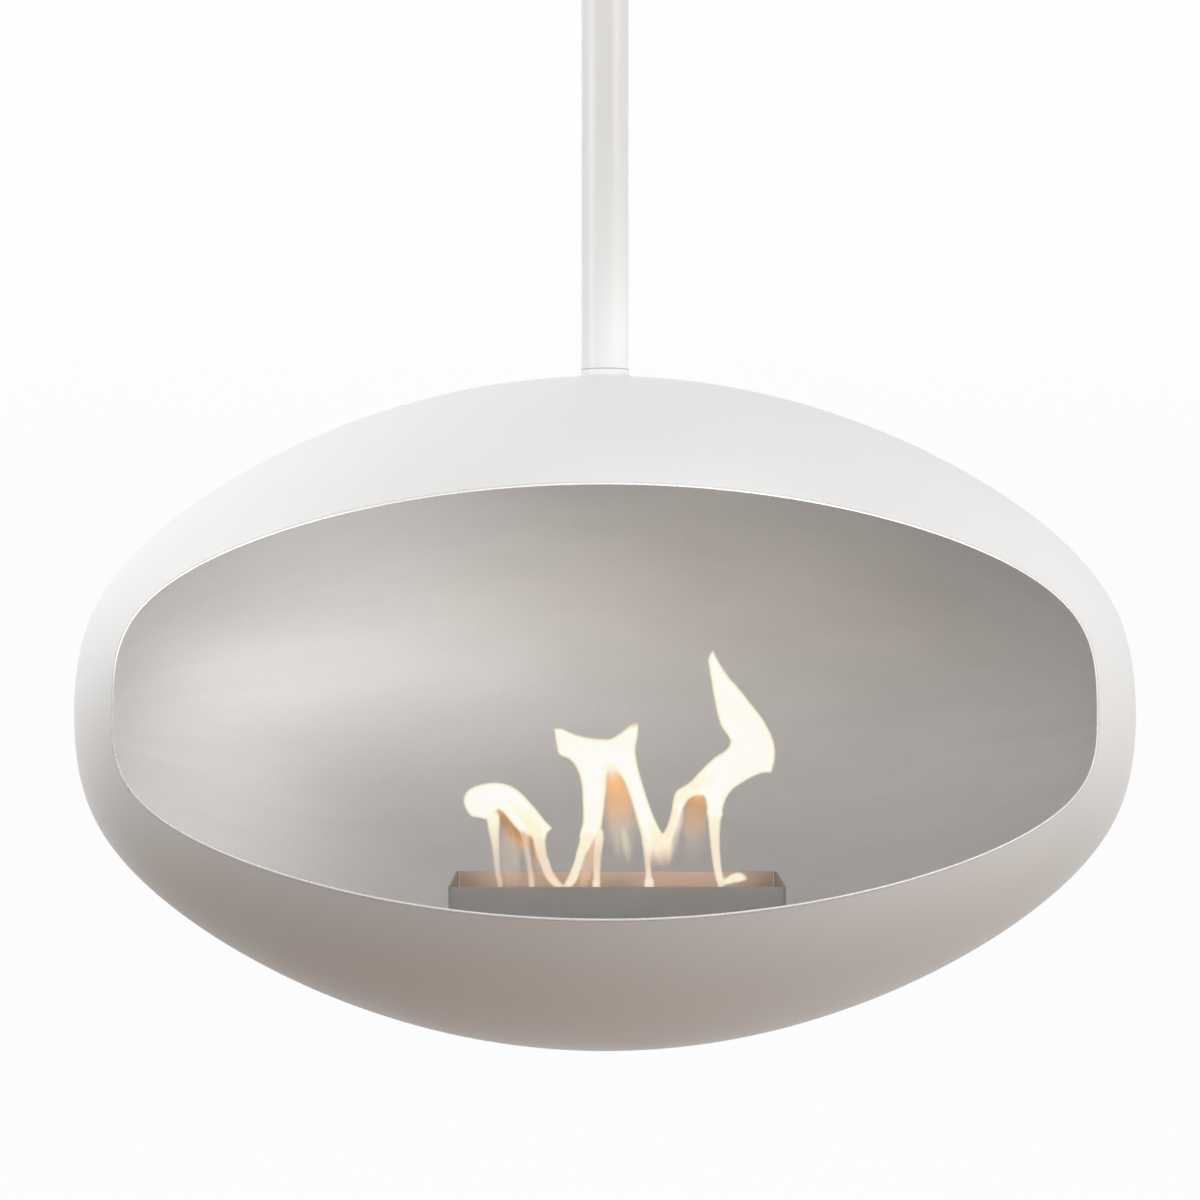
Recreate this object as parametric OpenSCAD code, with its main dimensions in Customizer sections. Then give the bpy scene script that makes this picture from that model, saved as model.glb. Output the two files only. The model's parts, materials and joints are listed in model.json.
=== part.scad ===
// Hanging bioethanol fireplace: a cocoon-shaped pod on a ceiling pole, with a burner that
// lifts out of a cradle in its floor and a lid that slides over the burner's slot.
// Millimetres. The origin is the centre of the ceiling plate's top face, +Z up, mouth to -Y.

/* [Pod] */
// Width of the pod from end to end
pod_w = 1072; // [1000:4:1160]
// Height of the pod at its middle
pod_h = 688; // [650:2:740]
// Bluntness of the ends, as a power: 0.5 gives an ellipse, less gives blunter ends
end_power = 0.3; // [0.28:0.001:0.4]
// How far the shoulders draw in towards the ends
shoulder_draw = 0.285; // [0.15:0.005:0.33]
// Thickness of the white outer shell
shell_t = 1.5; // [1:0.1:3]
// Thickness of the steel inner liner
liner_t = 1; // [0.6:0.1:2]
// Air gap between the shell and the liner
skin_gap = 0.5; // [0.3:0.1:1.5]

/* [Mouth] */
// Width of the mouth inside its rim
mouth_w = 950; // [870:2:976]
// Height of the mouth above its widest line, seen square on
mouth_up = 215; // [180:1:230]
// Depth of the mouth below its widest line, seen square on
mouth_down = 185.5; // [150:0.5:200]
// Height of the mouth's widest line above the pod's centre
mouth_rise = 8.5; // [0:0.5:20]
// Bluntness of the mouth's ends, as a power
mouth_power = 0.277; // [0.25:0.001:0.45]
// How far the mouth's outline draws in towards its ends
mouth_draw = 0.167; // [0.05:0.001:0.25]
// Width of the rim bead across the mouth's edge
bead_w = 2.4; // [1.5:0.1:5]
// How far the rim bead stands proud of each skin
bead_proud = 0.5; // [0.2:0.1:1.5]

/* [Pole] */
// Height from the pod's centre to the ceiling
drop = 850; // [760:10:1600]
// Outside diameter of the pole
pole_d = 48.3; // [42:0.1:60.3]
// Wall of the pole
pole_wall = 2.9; // [2:0.1:5]
// Height of the flared collar above the crown of the pod
collar_rise = 7; // [4:0.5:16]
// Diameter of the flared collar at its foot
collar_d = 64; // [62:1:90]
// Diameter of the bore through the collar
collar_bore = 32; // [22:1:36]
// Height of the collar's spigot inside the pole
collar_spigot = 8; // [4:1:16]
// Length of the tapped plug welded into the pole's foot
plug_len = 30; // [22:1:45]

/* [Hanger] */
// Diameter of the bolt that holds the pod to the pole
hanger_bolt_d = 16; // [12:1:20]
// Diameter of the saddle pad under the crown
saddle_d = 120; // [80:2:160]
// Thickness of the saddle pad at its middle
saddle_t = 8; // [6:0.5:14]
// Thickness of the washer under the bolt's head
washer_t = 3; // [2:0.5:5]

/* [Ceiling fitting] */
// Diameter of the ceiling plate
plate_d = 140; // [134:1:144]
// Thickness of the ceiling plate
plate_t = 8; // [5:0.5:12]
// Circle through the centres of the ceiling bolts' holes
bolt_circle = 105; // [90:1:114]
// Diameter of the ceiling bolts' holes
bolt_hole = 11; // [7:0.5:14]
// Number of holes for ceiling bolts
bolt_count = 4; // [3:1:8]
// Length of the plate's spigot inside the pole
spigot_len = 60; // [50:1:90]
// Wall of the plate's spigot
spigot_wall = 4; // [2.5:0.5:6]
// Diameter of the bolt across the pole's head
cross_bolt_d = 8; // [6:0.5:10]
// Depth of the cross bolt below the ceiling
cross_bolt_drop = 40; // [32:1:46]
// Outside diameter of the canopy
canopy_d = 156; // [150:1:190]
// Height of the canopy
canopy_h = 58; // [54:1:80]
// Wall of the canopy
canopy_wall = 1.5; // [1:0.1:3]
// Radius of the canopy's lower edge
canopy_round = 12; // [4:1:20]
// Height of the canopy's neck
neck_h = 12; // [9:1:20]
// Wall of the canopy's neck
neck_wall = 4; // [3:0.5:8]
// Diameter of the screw that holds the canopy up
grub_d = 4; // [3:0.5:6]

/* [Burner tray] */
// Distance of the burner's centre to the right of the pod's centre
burner_x = 12; // [-20:1:20]
// Width of the burner tray
tray_w = 338; // [326:1:380]
// Depth of the burner tray, front to back
tray_d = 150; // [142:1:180]
// Height of the burner tray
tray_h = 100; // [84:1:116]
// Thickness of the tray's sheet
tray_wall = 2; // [1.5:0.1:3]
// Outside radius of the tray's upright corners
tray_round = 4; // [3.5:0.5:10]
// Depth of the burner's deck below the tray's top edge
deck_depth = 28; // [24:1:36]

/* [Burner inside] */
// Thickness of the deck plate
deck_t = 2; // [1.5:0.1:3]
// Distance from the tray's end walls to the ends of the flame slot
slot_end = 49; // [47:1:80]
// Width of the flame slot, front to back
slot_d = 40; // [24:1:46]
// Radius of the slot's corners
slot_round = 6; // [2:0.5:7]
// Distance from the tray's front wall back to the slot
slot_back = 20; // [16:1:26]
// Thickness of the tank's sheet
tank_wall = 1.2; // [1:0.1:2]
// Width of the flange turned in round the tank's top
tank_flange = 10; // [9:0.5:14]
// Space above the wool grid, up to the deck
wool_space = 11; // [8:0.5:20]
// Thickness of the wool grid
grid_t = 1.5; // [1:0.1:3]
// Diameter of the grid's holes
grid_hole = 8; // [4:0.5:12]
// Distance between the grid's holes
grid_pitch = 20; // [16:1:28]
// Diameter of the screws that hold the deck
deck_screw_d = 4; // [3:0.5:5]

/* [Lid] */
// Thickness of the sliding lid
lid_t = 2; // [1.5:0.1:3]
// How far the lid laps over each end of the slot
lid_lap_w = 17; // [12:1:20]
// How far the lid laps over the slot's front and back edges
lid_lap_d = 8; // [5:0.5:10]
// Distance that the open lid stands back from the slot
lid_back = 4; // [1:0.5:8]
// Thickness of the runners' sheet
runner_t = 1.5; // [1:0.1:2]
// How far each runner reaches over the lid's end
runner_lip = 7; // [4:0.5:10]
// Width of each runner's foot
runner_foot = 10; // [9:0.5:11]
// Diameter of the rivets in the runners' feet
rivet_d = 4; // [3:0.5:4.5]
// Diameter of the lid's knob
knob_d = 16; // [12:1:24]
// Height of the lid's knob
knob_h = 14; // [10:0.5:16]
// Diameter of the hook hole through the knob
knob_hole = 5; // [3:0.5:6]

/* [Cradle] */
// Height of the cradle's shelf above the lowest line of the pod's floor
rib_h = 62.5; // [54:0.5:66]
// Height of the pads that the burner stands on
pad_h = 4; // [3.5:0.5:8]
// Diameter of the pads
pad_d = 25; // [16:1:36]
// Thickness of the cradle's shelf
shelf_t = 2.5; // [1.5:0.1:4]
// Height of the lips turned up round the shelf
shelf_lip = 12; // [8:1:20]
// Free space between the burner tray and the shelf's lips
shelf_play = 1; // [0.5:0.1:3]
// Thickness of the ribs under the shelf
rib_t = 3; // [2:0.5:6]
// Distance between the ribs
rib_gap = 220; // [160:2:250]
// Length of the ribs, front to back
rib_len = 140; // [120:2:156]
// Width of the flange along the top of each rib
rib_flange = 22; // [18:1:30]
// Diameter of the holes that lighten the ribs
rib_hole = 22; // [12:1:26]
// Diameter of the bolts between the shelf and the ribs
cradle_bolt_d = 5; // [4:0.5:6]

/* [Fits] */
// Gap at a welded or seated curved joint
seat_gap = 0.2; // [0.1:0.05:0.3]
// Radial gap of a plug or spigot driven into the pole
driven_fit = 0.05; // [0.02:0.01:0.1]
// Radial gap of a spigot that the pole slides over
spigot_fit = 0.4; // [0.2:0.05:0.8]
// Radial gap between the pole and the canopy's neck
canopy_fit = 0.5; // [0.35:0.05:1]
// Radial gap of a bolt in its hole
bolt_fit = 0.25; // [0.1:0.05:0.5]
// Gap all round the lid in its runners
lid_fit = 0.4; // [0.3:0.05:0.6]
// Gap between the tank and the tray, and between the wool and the tank
tank_fit = 0.5; // [0.3:0.1:1]

/* [Hidden] */

// Smoothness: bands from the middle of a lens outline to its end, and steps round a corner
lens_bands = 32;
mouth_bands = 22;
corner_steps = 5;
pod_fn = 360;
round_fn = 96;
small_fn = 32;

// Heights along the hanging line
pod_z = -drop;
crown_z = pod_z + pod_h / 2;
collar_z = crown_z + collar_rise;
wall_all = shell_t + skin_gap + liner_t;
saddle_z = crown_z - wall_all - seat_gap - saddle_t;
bolt_seat_z = saddle_z - washer_t;
plug_gap = 0.5;
plug_z = collar_z + collar_spigot + plug_gap;
pole_bore = pole_d - 2 * pole_wall;
weld_leg = 4;
pole_top_z = -plate_t - weld_leg - 2;
canopy_gap = 0.5;

// Heights of the cradle and of the burner that stands on it, from the pod's floor upwards
floor_z = pod_z - pod_h / 2 + wall_all;
shelf_z = floor_z + rib_h;
rib_top_z = shelf_z - rib_t;
rib_hole_z = rib_top_z - 0.4 * (rib_top_z - floor_z);
tray_floor_z = shelf_z + shelf_t + pad_h;
tray_z = tray_floor_z + tray_h;
deck_z = tray_z - deck_depth;
tank_z = tray_floor_z + tray_wall;
tank_w = tray_w - 2 * (tray_wall + tank_fit);
tank_d = tray_d - 2 * (tray_wall + tank_fit);
tank_round = max(0.5, tray_round - tray_wall - tank_fit);
deck_under_z = deck_z - deck_t;
grid_z = deck_under_z - wool_space - grid_t;
wool_w = tank_w - 2 * (tank_wall + tank_fit);
wool_d = tank_d - 2 * (tank_wall + tank_fit);

// Slot and lid: the lid rests open behind the slot and closes towards the front
slot_w = tray_w - 2 * (tray_wall + slot_end);
slot_front_y = -tray_d / 2 + tray_wall + slot_back;
slot_y = slot_front_y + slot_d / 2;
lid_w = slot_w + 2 * lid_lap_w;
lid_d = slot_d + 2 * lid_lap_d;
lid_open_y = slot_front_y + slot_d + lid_back;
lid_travel = slot_d + lid_lap_d + lid_back;
lid_z = deck_z + lid_fit;
runner_front_y = lid_open_y - lid_travel - lid_fit;
runner_back_y = lid_open_y + lid_d + lid_fit;

// Half of a lens outline as [along, across] points, from one end to the other:
// across = half_h * (1 - u^2)^power * (1 - draw * u^2), where u runs from -1 to 1 along it
function lens(half_w, half_h, power, draw, steps) =
    [for (i = [-steps:steps]) let (t = 90 * i / steps, u = sin(t))
        [half_w * u, abs(i) == steps ? 0 : half_h * pow(cos(t), 2 * power) * (1 - draw * u * u)]];

function backwards(points) = [for (i = [len(points) - 1:-1:0]) points[i]];

function pod_outline(inset) =
    lens(pod_w / 2 - inset, pod_h / 2 - inset, end_power, shoulder_draw, lens_bands);

// Corner points of a rectangle with rounded corners, centred on the origin
function round_rect(w, d, r) =
    [for (c = [[1, 1, 0], [-1, 1, 90], [-1, -1, 180], [1, -1, 270]], i = [0:corner_steps])
        let (a = c[2] + 90 * i / corner_steps)
        [c[0] * (w / 2 - r) + r * cos(a), c[1] * (d / 2 - r) + r * sin(a)]];

// Points of an arc about a centre, from one angle to another
function arc(centre, r, from, to, steps = 8) =
    [for (i = [0:steps]) let (a = from + (to - from) * i / steps)
        [centre[0] + r * cos(a), centre[1] + r * sin(a)]];

// Turns an outline about the pod's long axis, which lies along X through the pod's centre
module spin_pod(points) {
    translate([0, 0, pod_z]) rotate([0, 90, 0]) rotate_extrude($fn = pod_fn)
        polygon([for (p = points) [p[1], p[0]]]);
}

module pod_solid(inset) {
    spin_pod(pod_outline(inset));
}

module pod_skin(inset, thickness) {
    spin_pod(concat(pod_outline(inset), backwards(pod_outline(inset + thickness))));
}

// The mouth's outline, punched straight through the front of the pod
module mouth_prism(grow) {
    upper = lens(mouth_w / 2 + grow, mouth_up + grow, mouth_power, mouth_draw, mouth_bands);
    lower = lens(mouth_w / 2 + grow, mouth_down + grow, mouth_power, mouth_draw, mouth_bands);
    translate([0, 0, pod_z + mouth_rise]) rotate([90, 0, 0]) linear_extrude(pod_h)
        polygon(concat(upper, [for (i = [len(lower) - 2:-1:1]) [lower[i][0], -lower[i][1]]]));
}

module hanger_hole() {
    translate([0, 0, pod_z]) cylinder(d = hanger_bolt_d + 2 * bolt_fit, h = pod_h, $fn = small_fn);
}

module slab(w, d, h, r = 0.5) {
    linear_extrude(h) polygon(round_rect(w, d, r));
}

// An open-topped box of folded sheet
module pan(w, d, h, wall, r) {
    difference() {
        slab(w, d, h, r);
        translate([0, 0, wall]) slab(w - 2 * wall, d - 2 * wall, h, max(0.5, r - wall));
    }
}

module tube(outer_d, inner_d, h) {
    difference() {
        cylinder(d = outer_d, h = h, $fn = round_fn);
        translate([0, 0, -1]) cylinder(d = inner_d, h = h + 2, $fn = round_fn);
    }
}

// Nut and bolt-head sizes follow the bolt: about 1.6 diameters across the flats
module hexagon(bolt_d, h) {
    cylinder(d = 1.6 * bolt_d / cos(30), h = h, $fn = 6);
}

module at_corners(w, d) {
    for (x = [-w / 2, w / 2], y = [-d / 2, d / 2]) translate([x, y, 0]) children();
}

module across_pole() {
    translate([0, 0, -cross_bolt_drop]) rotate([0, 90, 0]) children();
}

cross_washer_t = 0.2 * cross_bolt_d;
cross_reach = pole_d / 2 + cross_washer_t;

module ceiling_plate() {
    spigot_d = pole_bore - 2 * spigot_fit;
    color("silver") difference() {
        union() {
            translate([0, 0, -plate_t]) cylinder(d = plate_d, h = plate_t, $fn = round_fn);
            translate([0, 0, -plate_t - spigot_len])
                cylinder(d = spigot_d, h = spigot_len + plate_t / 2, $fn = round_fn);
            translate([0, 0, -plate_t - weld_leg])
                cylinder(d1 = spigot_d, d2 = spigot_d + 2 * weld_leg, h = weld_leg, $fn = round_fn);
        }
        translate([0, 0, -plate_t - spigot_len - 1])
            cylinder(d = spigot_d - 2 * spigot_wall, h = spigot_len + 1, $fn = round_fn);
        for (i = [0:bolt_count - 1]) rotate(45 + 360 * i / bolt_count)
            translate([bolt_circle / 2, 0, -plate_t - 1])
                cylinder(d = bolt_hole, h = plate_t + 2, $fn = small_fn);
        across_pole() translate([0, 0, -pole_d / 2])
            cylinder(d = cross_bolt_d + 2 * bolt_fit, h = pole_d, $fn = small_fn);
    }
}

module cross_bolt() {
    nut_end = cross_reach + 1.2 * cross_bolt_d;
    color("silver") across_pole() {
        translate([0, 0, -cross_reach]) cylinder(d = cross_bolt_d, h = cross_reach + nut_end, $fn = small_fn);
        translate([0, 0, -cross_reach - 0.65 * cross_bolt_d]) hexagon(cross_bolt_d, 0.65 * cross_bolt_d);
    }
}

module cross_nut() {
    color("silver") across_pole() translate([0, 0, cross_reach]) difference() {
        hexagon(cross_bolt_d, 0.8 * cross_bolt_d);
        translate([0, 0, -1]) cylinder(d = cross_bolt_d + 2 * driven_fit, h = cross_bolt_d + 2, $fn = small_fn);
    }
}

module cross_washers() {
    // Each washer is curved inside to sit on the pole
    color("silver") difference() {
        across_pole() for (z = [-cross_reach, cross_reach - 2 * cross_washer_t])
            translate([0, 0, z])
                tube(2.1 * cross_bolt_d, cross_bolt_d + 2 * bolt_fit, 2 * cross_washer_t);
        translate([0, 0, -2 * cross_bolt_drop])
            cylinder(r = pole_d / 2 + seat_gap / 4, h = 2 * cross_bolt_drop, $fn = round_fn);
    }
}

module ceiling_canopy() {
    r = canopy_d / 2;
    hole_r = pole_d / 2 + canopy_fit;
    inner_round = max(1, canopy_round - canopy_wall);
    neck_r = hole_r + neck_wall;
    // The section, from the neck's foot out round the cup and back inside it
    section = concat(
        [[hole_r, -neck_h], [neck_r, -neck_h], [neck_r, 0]],
        arc([r - canopy_round, canopy_round], canopy_round, -90, 0),
        [[r, canopy_h], [r - canopy_wall, canopy_h]],
        arc([r - canopy_wall - inner_round, canopy_wall + inner_round], inner_round, 0, -90),
        [[hole_r, canopy_wall]]);
    color("white") translate([0, 0, -canopy_gap - canopy_h]) difference() {
        rotate_extrude($fn = round_fn) polygon(section);
        translate([0, 0, -neck_h / 2]) rotate([90, 0, 0])
            cylinder(d = grub_d + 2 * driven_fit, h = neck_r + 1, $fn = small_fn);
    }
}

module canopy_screw() {
    tip = pole_d / 2 + canopy_fit - 0.2;
    length = neck_wall;
    color("silver") translate([0, 0, -canopy_gap - canopy_h - neck_h / 2]) rotate([90, 0, 0])
        translate([0, 0, tip]) difference() {
            cylinder(d = grub_d, h = length, $fn = small_fn);
            translate([0, 0, length / 2]) cylinder(d = grub_d / 2, h = length, $fn = 6);
        }
}

module pole() {
    chamfer = 0.5;
    r = pole_d / 2;
    color("white") difference() {
        rotate_extrude($fn = round_fn) polygon([
            [pole_bore / 2, collar_z], [r - chamfer, collar_z], [r, collar_z + chamfer],
            [r, pole_top_z], [pole_bore / 2, pole_top_z]]);
        across_pole() translate([0, 0, -pole_d])
            cylinder(d = cross_bolt_d + 2 * bolt_fit, h = 2 * pole_d, $fn = small_fn);
    }
}

module pole_plug() {
    color("silver") translate([0, 0, plug_z])
        tube(pole_bore - 2 * driven_fit, hanger_bolt_d + 2 * driven_fit, plug_len);
}

// A flare that runs out on the crown: its arc ends as low as the pod's own surface does there
module pod_collar() {
    foot = 8;
    pole_r = pole_d / 2;
    flare = collar_d / 2 - pole_r;
    edge_z = pod_z + sqrt(pow(pod_h / 2, 2) - pow(collar_d / 2, 2));
    color("white") difference() {
        union() {
            rotate_extrude($fn = round_fn) difference() {
                translate([0, crown_z - foot]) square([collar_d / 2, foot + collar_rise]);
                translate([collar_d / 2, edge_z + flare]) circle(r = flare, $fn = round_fn);
                translate([pole_r, edge_z + flare]) square([flare + 1, foot + collar_rise]);
            }
            translate([0, 0, collar_z - 1])
                cylinder(d = pole_bore - 2 * driven_fit, h = collar_spigot + 1, $fn = round_fn);
        }
        pod_solid(-seat_gap);
        translate([0, 0, pod_z]) cylinder(d = collar_bore, h = pod_h, $fn = small_fn);
    }
}

module outer_shell() {
    color("white") difference() {
        pod_skin(0, shell_t);
        mouth_prism(bead_w + seat_gap / 2);
        hanger_hole();
    }
}

module inner_liner() {
    color("gainsboro") difference() {
        pod_skin(shell_t + skin_gap, liner_t);
        mouth_prism(bead_w + seat_gap / 2);
        hanger_hole();
    }
}

module rim_bead() {
    color("silver") difference() {
        intersection() {
            pod_skin(-bead_proud, wall_all + 2 * bead_proud);
            mouth_prism(bead_w);
        }
        mouth_prism(0);
    }
}

// A pad whose top fits the crown and whose underside is flat for the washer
module saddle_pad() {
    color("silver") difference() {
        intersection() {
            pod_solid(wall_all + seat_gap);
            translate([0, 0, saddle_z]) cylinder(d = saddle_d, h = 2 * saddle_t, $fn = round_fn);
        }
        hanger_hole();
    }
}

module hanger_washer() {
    color("silver") translate([0, 0, bolt_seat_z])
        tube(1.9 * hanger_bolt_d, hanger_bolt_d + 2 * bolt_fit, washer_t);
}

module hanger_bolt() {
    head = 0.625 * hanger_bolt_d;
    thread_end = plug_z + 0.85 * plug_len;
    color("silver") translate([0, 0, bolt_seat_z]) {
        cylinder(d = hanger_bolt_d, h = thread_end - bolt_seat_z, $fn = small_fn);
        translate([0, 0, -head]) hexagon(hanger_bolt_d, head);
    }
}

// Everything below stands about the burner's own centre line
module at_burner(z) {
    translate([burner_x, 0, z]) children();
}

shelf_w = tray_w + 2 * (shelf_play + shelf_t);
shelf_d = tray_d + 2 * (shelf_play + shelf_t);
bolt_row = rib_gap - rib_flange;
bolt_span = rib_len - 4 * cradle_bolt_d;

// Two upright ribs, cut below to the curve of the pod's floor, each with a flange on top
module cradle_ribs() {
    color("silver") difference() {
        intersection() {
            pod_solid(wall_all + seat_gap);
            at_burner(0) for (side = [0, 1]) mirror([side, 0, 0]) translate([rib_gap / 2 - rib_t, 0, 0]) {
                translate([0, -rib_len / 2, floor_z - wall_all])
                    cube([rib_t, rib_len, shelf_z - floor_z + wall_all]);
                translate([rib_t - rib_flange, -rib_len / 2, rib_top_z]) cube([rib_flange, rib_len, rib_t]);
            }
        }
        at_burner(rib_hole_z) for (y = [-rib_len / 4, rib_len / 4]) translate([0, y, 0])
            rotate([0, 90, 0]) cylinder(d = rib_hole, h = rib_gap + 2, center = true, $fn = small_fn);
        cradle_bolt_holes();
    }
}

module cradle_bolt_holes() {
    at_burner(rib_top_z - 1) at_corners(bolt_row, bolt_span)
        cylinder(d = cradle_bolt_d + 2 * bolt_fit, h = rib_t + shelf_t + 2, $fn = small_fn);
}

// A shelf with a lip folded up along each side and the corners left open
module cradle_shelf() {
    corner = 2 * shelf_t + shelf_play;
    color("silver") difference() {
        at_burner(shelf_z) difference() {
            pan(shelf_w, shelf_d, shelf_t + shelf_lip, shelf_t, 0.5);
            at_corners(shelf_w, shelf_d) cube([2 * corner, 2 * corner, 4 * shelf_lip], center = true);
        }
        cradle_bolt_holes();
    }
}

module cradle_bolts() {
    head = 0.5 * cradle_bolt_d;
    color("silver") at_burner(shelf_z + shelf_t) at_corners(bolt_row, bolt_span) {
        cylinder(d1 = 1.9 * cradle_bolt_d, d2 = 1.2 * cradle_bolt_d, h = head, $fn = small_fn);
        translate([0, 0, -shelf_t - rib_t - 1.1 * cradle_bolt_d])
            cylinder(d = cradle_bolt_d, h = shelf_t + rib_t + 1.1 * cradle_bolt_d, $fn = small_fn);
    }
}

module cradle_nuts() {
    color("silver") at_burner(rib_top_z - 0.8 * cradle_bolt_d) at_corners(bolt_row, bolt_span)
        difference() {
            hexagon(cradle_bolt_d, 0.8 * cradle_bolt_d);
            translate([0, 0, -1])
                cylinder(d = cradle_bolt_d + 2 * driven_fit, h = cradle_bolt_d + 2, $fn = small_fn);
        }
}

module burner_pads() {
    color("ivory") at_burner(shelf_z + shelf_t)
        at_corners(tray_w - 2 * pad_d, tray_d - 2 * pad_d) cylinder(d = pad_d, h = pad_h, $fn = small_fn);
}

module burner_tray() {
    color("dimgray") at_burner(tray_floor_z) pan(tray_w, tray_d, tray_h, tray_wall, tray_round);
}

screw_row = tank_w - tank_flange;
screw_span = tank_d - tank_flange;

module deck_screw_holes() {
    at_burner(deck_under_z - 2 * tank_wall) at_corners(screw_row, screw_span)
        cylinder(d = deck_screw_d + 2 * driven_fit, h = deck_t + 4 * tank_wall, $fn = small_fn);
}

module fuel_tank() {
    height = deck_under_z - tank_z;
    color("lightgray") difference() {
        at_burner(tank_z) {
            pan(tank_w, tank_d, height, tank_wall, tank_round);
            translate([0, 0, height - tank_wall]) difference() {
                slab(tank_w - tank_wall, tank_d - tank_wall, tank_wall, tank_round);
                translate([0, 0, -1])
                    slab(tank_w - 2 * tank_flange, tank_d - 2 * tank_flange, tank_wall + 2, tank_round);
            }
        }
        deck_screw_holes();
    }
}

module wool_block() {
    color("ivory") at_burner(tank_z + tank_wall)
        slab(wool_w, wool_d, grid_z - tank_z - tank_wall, 2);
}

module wool_grid() {
    columns = floor((wool_w - 2 * tank_flange) / grid_pitch);
    rows = floor((wool_d - 2 * tank_flange) / grid_pitch);
    color("lightgray") at_burner(grid_z) difference() {
        slab(wool_w, wool_d, grid_t, 2);
        for (i = [0:columns - 1], j = [0:rows - 1])
            translate([(i - (columns - 1) / 2) * grid_pitch, (j - (rows - 1) / 2) * grid_pitch, -1])
                cylinder(d = grid_hole, h = grid_t + 2, $fn = 16);
    }
}

runner_x = lid_w / 2 + lid_fit;
rivet_x = runner_x + runner_t + runner_foot / 2;
rivet_y = [for (s = [-1, 1]) (runner_front_y + runner_back_y) / 2 + s * (runner_back_y - runner_front_y) * 0.36];

module burner_deck() {
    color("gray") difference() {
        at_burner(deck_under_z) difference() {
            slab(tank_w, tank_d, deck_t, tank_round);
            translate([0, slot_y, -1]) slab(slot_w, slot_d, deck_t + 2, slot_round);
            for (x = [-rivet_x, rivet_x], y = rivet_y) translate([x, y, -1])
                cylinder(d = rivet_d + 2 * driven_fit, h = deck_t + 2, $fn = small_fn);
        }
        deck_screw_holes();
    }
}

module deck_screws() {
    color("silver") at_burner(deck_z) at_corners(screw_row, screw_span) {
        cylinder(d1 = 1.9 * deck_screw_d, d2 = 1.3 * deck_screw_d, h = 0.5 * deck_screw_d, $fn = small_fn);
        translate([0, 0, -deck_t - 2 * deck_screw_d])
            cylinder(d = deck_screw_d, h = deck_t + 2 * deck_screw_d, $fn = small_fn);
    }
}

// Two runners of folded sheet: a riveted foot, a riser, a lip over the lid and a stop at each end
module lid_runners() {
    rise = lid_t + 2 * lid_fit;
    length = runner_back_y - runner_front_y + 2 * runner_t;
    color("lightgray") at_burner(deck_z) for (side = [0, 1]) mirror([side, 0, 0])
        translate([runner_x, runner_front_y - runner_t, 0]) difference() {
            union() {
                cube([runner_t, length, rise + runner_t]);
                cube([runner_t + runner_foot, length, runner_t]);
                translate([-runner_lip, 0, rise]) cube([runner_lip + runner_t, length, runner_t]);
                for (y = [0, length - runner_t])
                    translate([-runner_lip, y, 0]) cube([runner_lip + runner_t, runner_t, rise + runner_t]);
            }
            for (y = rivet_y) translate([rivet_x - runner_x, y - runner_front_y + runner_t, -1])
                cylinder(d = rivet_d + 2 * driven_fit, h = runner_t + 2, $fn = small_fn);
        }
}

module runner_rivets() {
    color("silver") at_burner(deck_z) for (x = [-rivet_x, rivet_x], y = rivet_y) translate([x, y, 0]) {
        translate([0, 0, runner_t])
            cylinder(d1 = 1.9 * rivet_d, d2 = 1.1 * rivet_d, h = 0.4 * rivet_d, $fn = small_fn);
        translate([0, 0, -deck_t]) cylinder(d = rivet_d, h = deck_t + runner_t, $fn = small_fn);
        translate([0, 0, -deck_t - 0.5 * rivet_d]) cylinder(d = 1.5 * rivet_d, h = 0.5 * rivet_d, $fn = small_fn);
    }
}

module sliding_lid() {
    color("gray") at_burner(lid_z) translate([0, lid_open_y + lid_d / 2, 0]) difference() {
        slab(lid_w, lid_d, lid_t, 1.5);
        translate([0, 0, -1]) cylinder(d = knob_stem_d + 2 * driven_fit, h = lid_t + 2, $fn = small_fn);
    }
}

knob_stem_d = knob_d / 2;

// A turned knob, riveted through the lid, with a cross hole for the hook that slides it
module lid_knob() {
    round_r = 0.18 * knob_d;
    neck_top = knob_h - 0.55 * knob_d;
    foot_r = knob_d / 2 - 1;
    foot_t = 1.2;
    section = concat(
        [[0, -lid_t], [knob_stem_d / 2, -lid_t], [knob_stem_d / 2, 0]],
        [[foot_r, 0], [foot_r, foot_t], [knob_stem_d / 2, 2 * foot_t], [knob_stem_d / 2, neck_top]],
        arc([knob_d / 2 - round_r, neck_top + round_r], round_r, -90, 0, 5),
        arc([knob_d / 2 - round_r, knob_h - round_r], round_r, 0, 90, 5),
        [[0, knob_h]]);
    color("silver") at_burner(lid_z + lid_t) translate([0, lid_open_y + lid_d / 2, 0]) difference() {
        rotate_extrude($fn = 48) polygon(section);
        translate([0, 0, (neck_top + knob_h) / 2]) rotate([0, 90, 0])
            cylinder(d = min(knob_hole, 0.4 * knob_d), h = knob_d + 2, center = true, $fn = small_fn);
    }
}

ceiling_plate();
cross_bolt();
cross_nut();
cross_washers();
ceiling_canopy();
canopy_screw();
pole();
pole_plug();
pod_collar();
outer_shell();
inner_liner();
rim_bead();
saddle_pad();
hanger_washer();
hanger_bolt();
cradle_ribs();
cradle_shelf();
cradle_bolts();
cradle_nuts();
burner_pads();
burner_tray();
fuel_tank();
wool_block();
wool_grid();
burner_deck();
deck_screws();
lid_runners();
runner_rivets();
sliding_lid();
lid_knob();
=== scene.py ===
# Hanging bioethanol fireplace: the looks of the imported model, in metres.
# The origin is the centre of the ceiling plate's top face, +Z is up, and the pod's mouth faces -Y.
import json
import math

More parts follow.
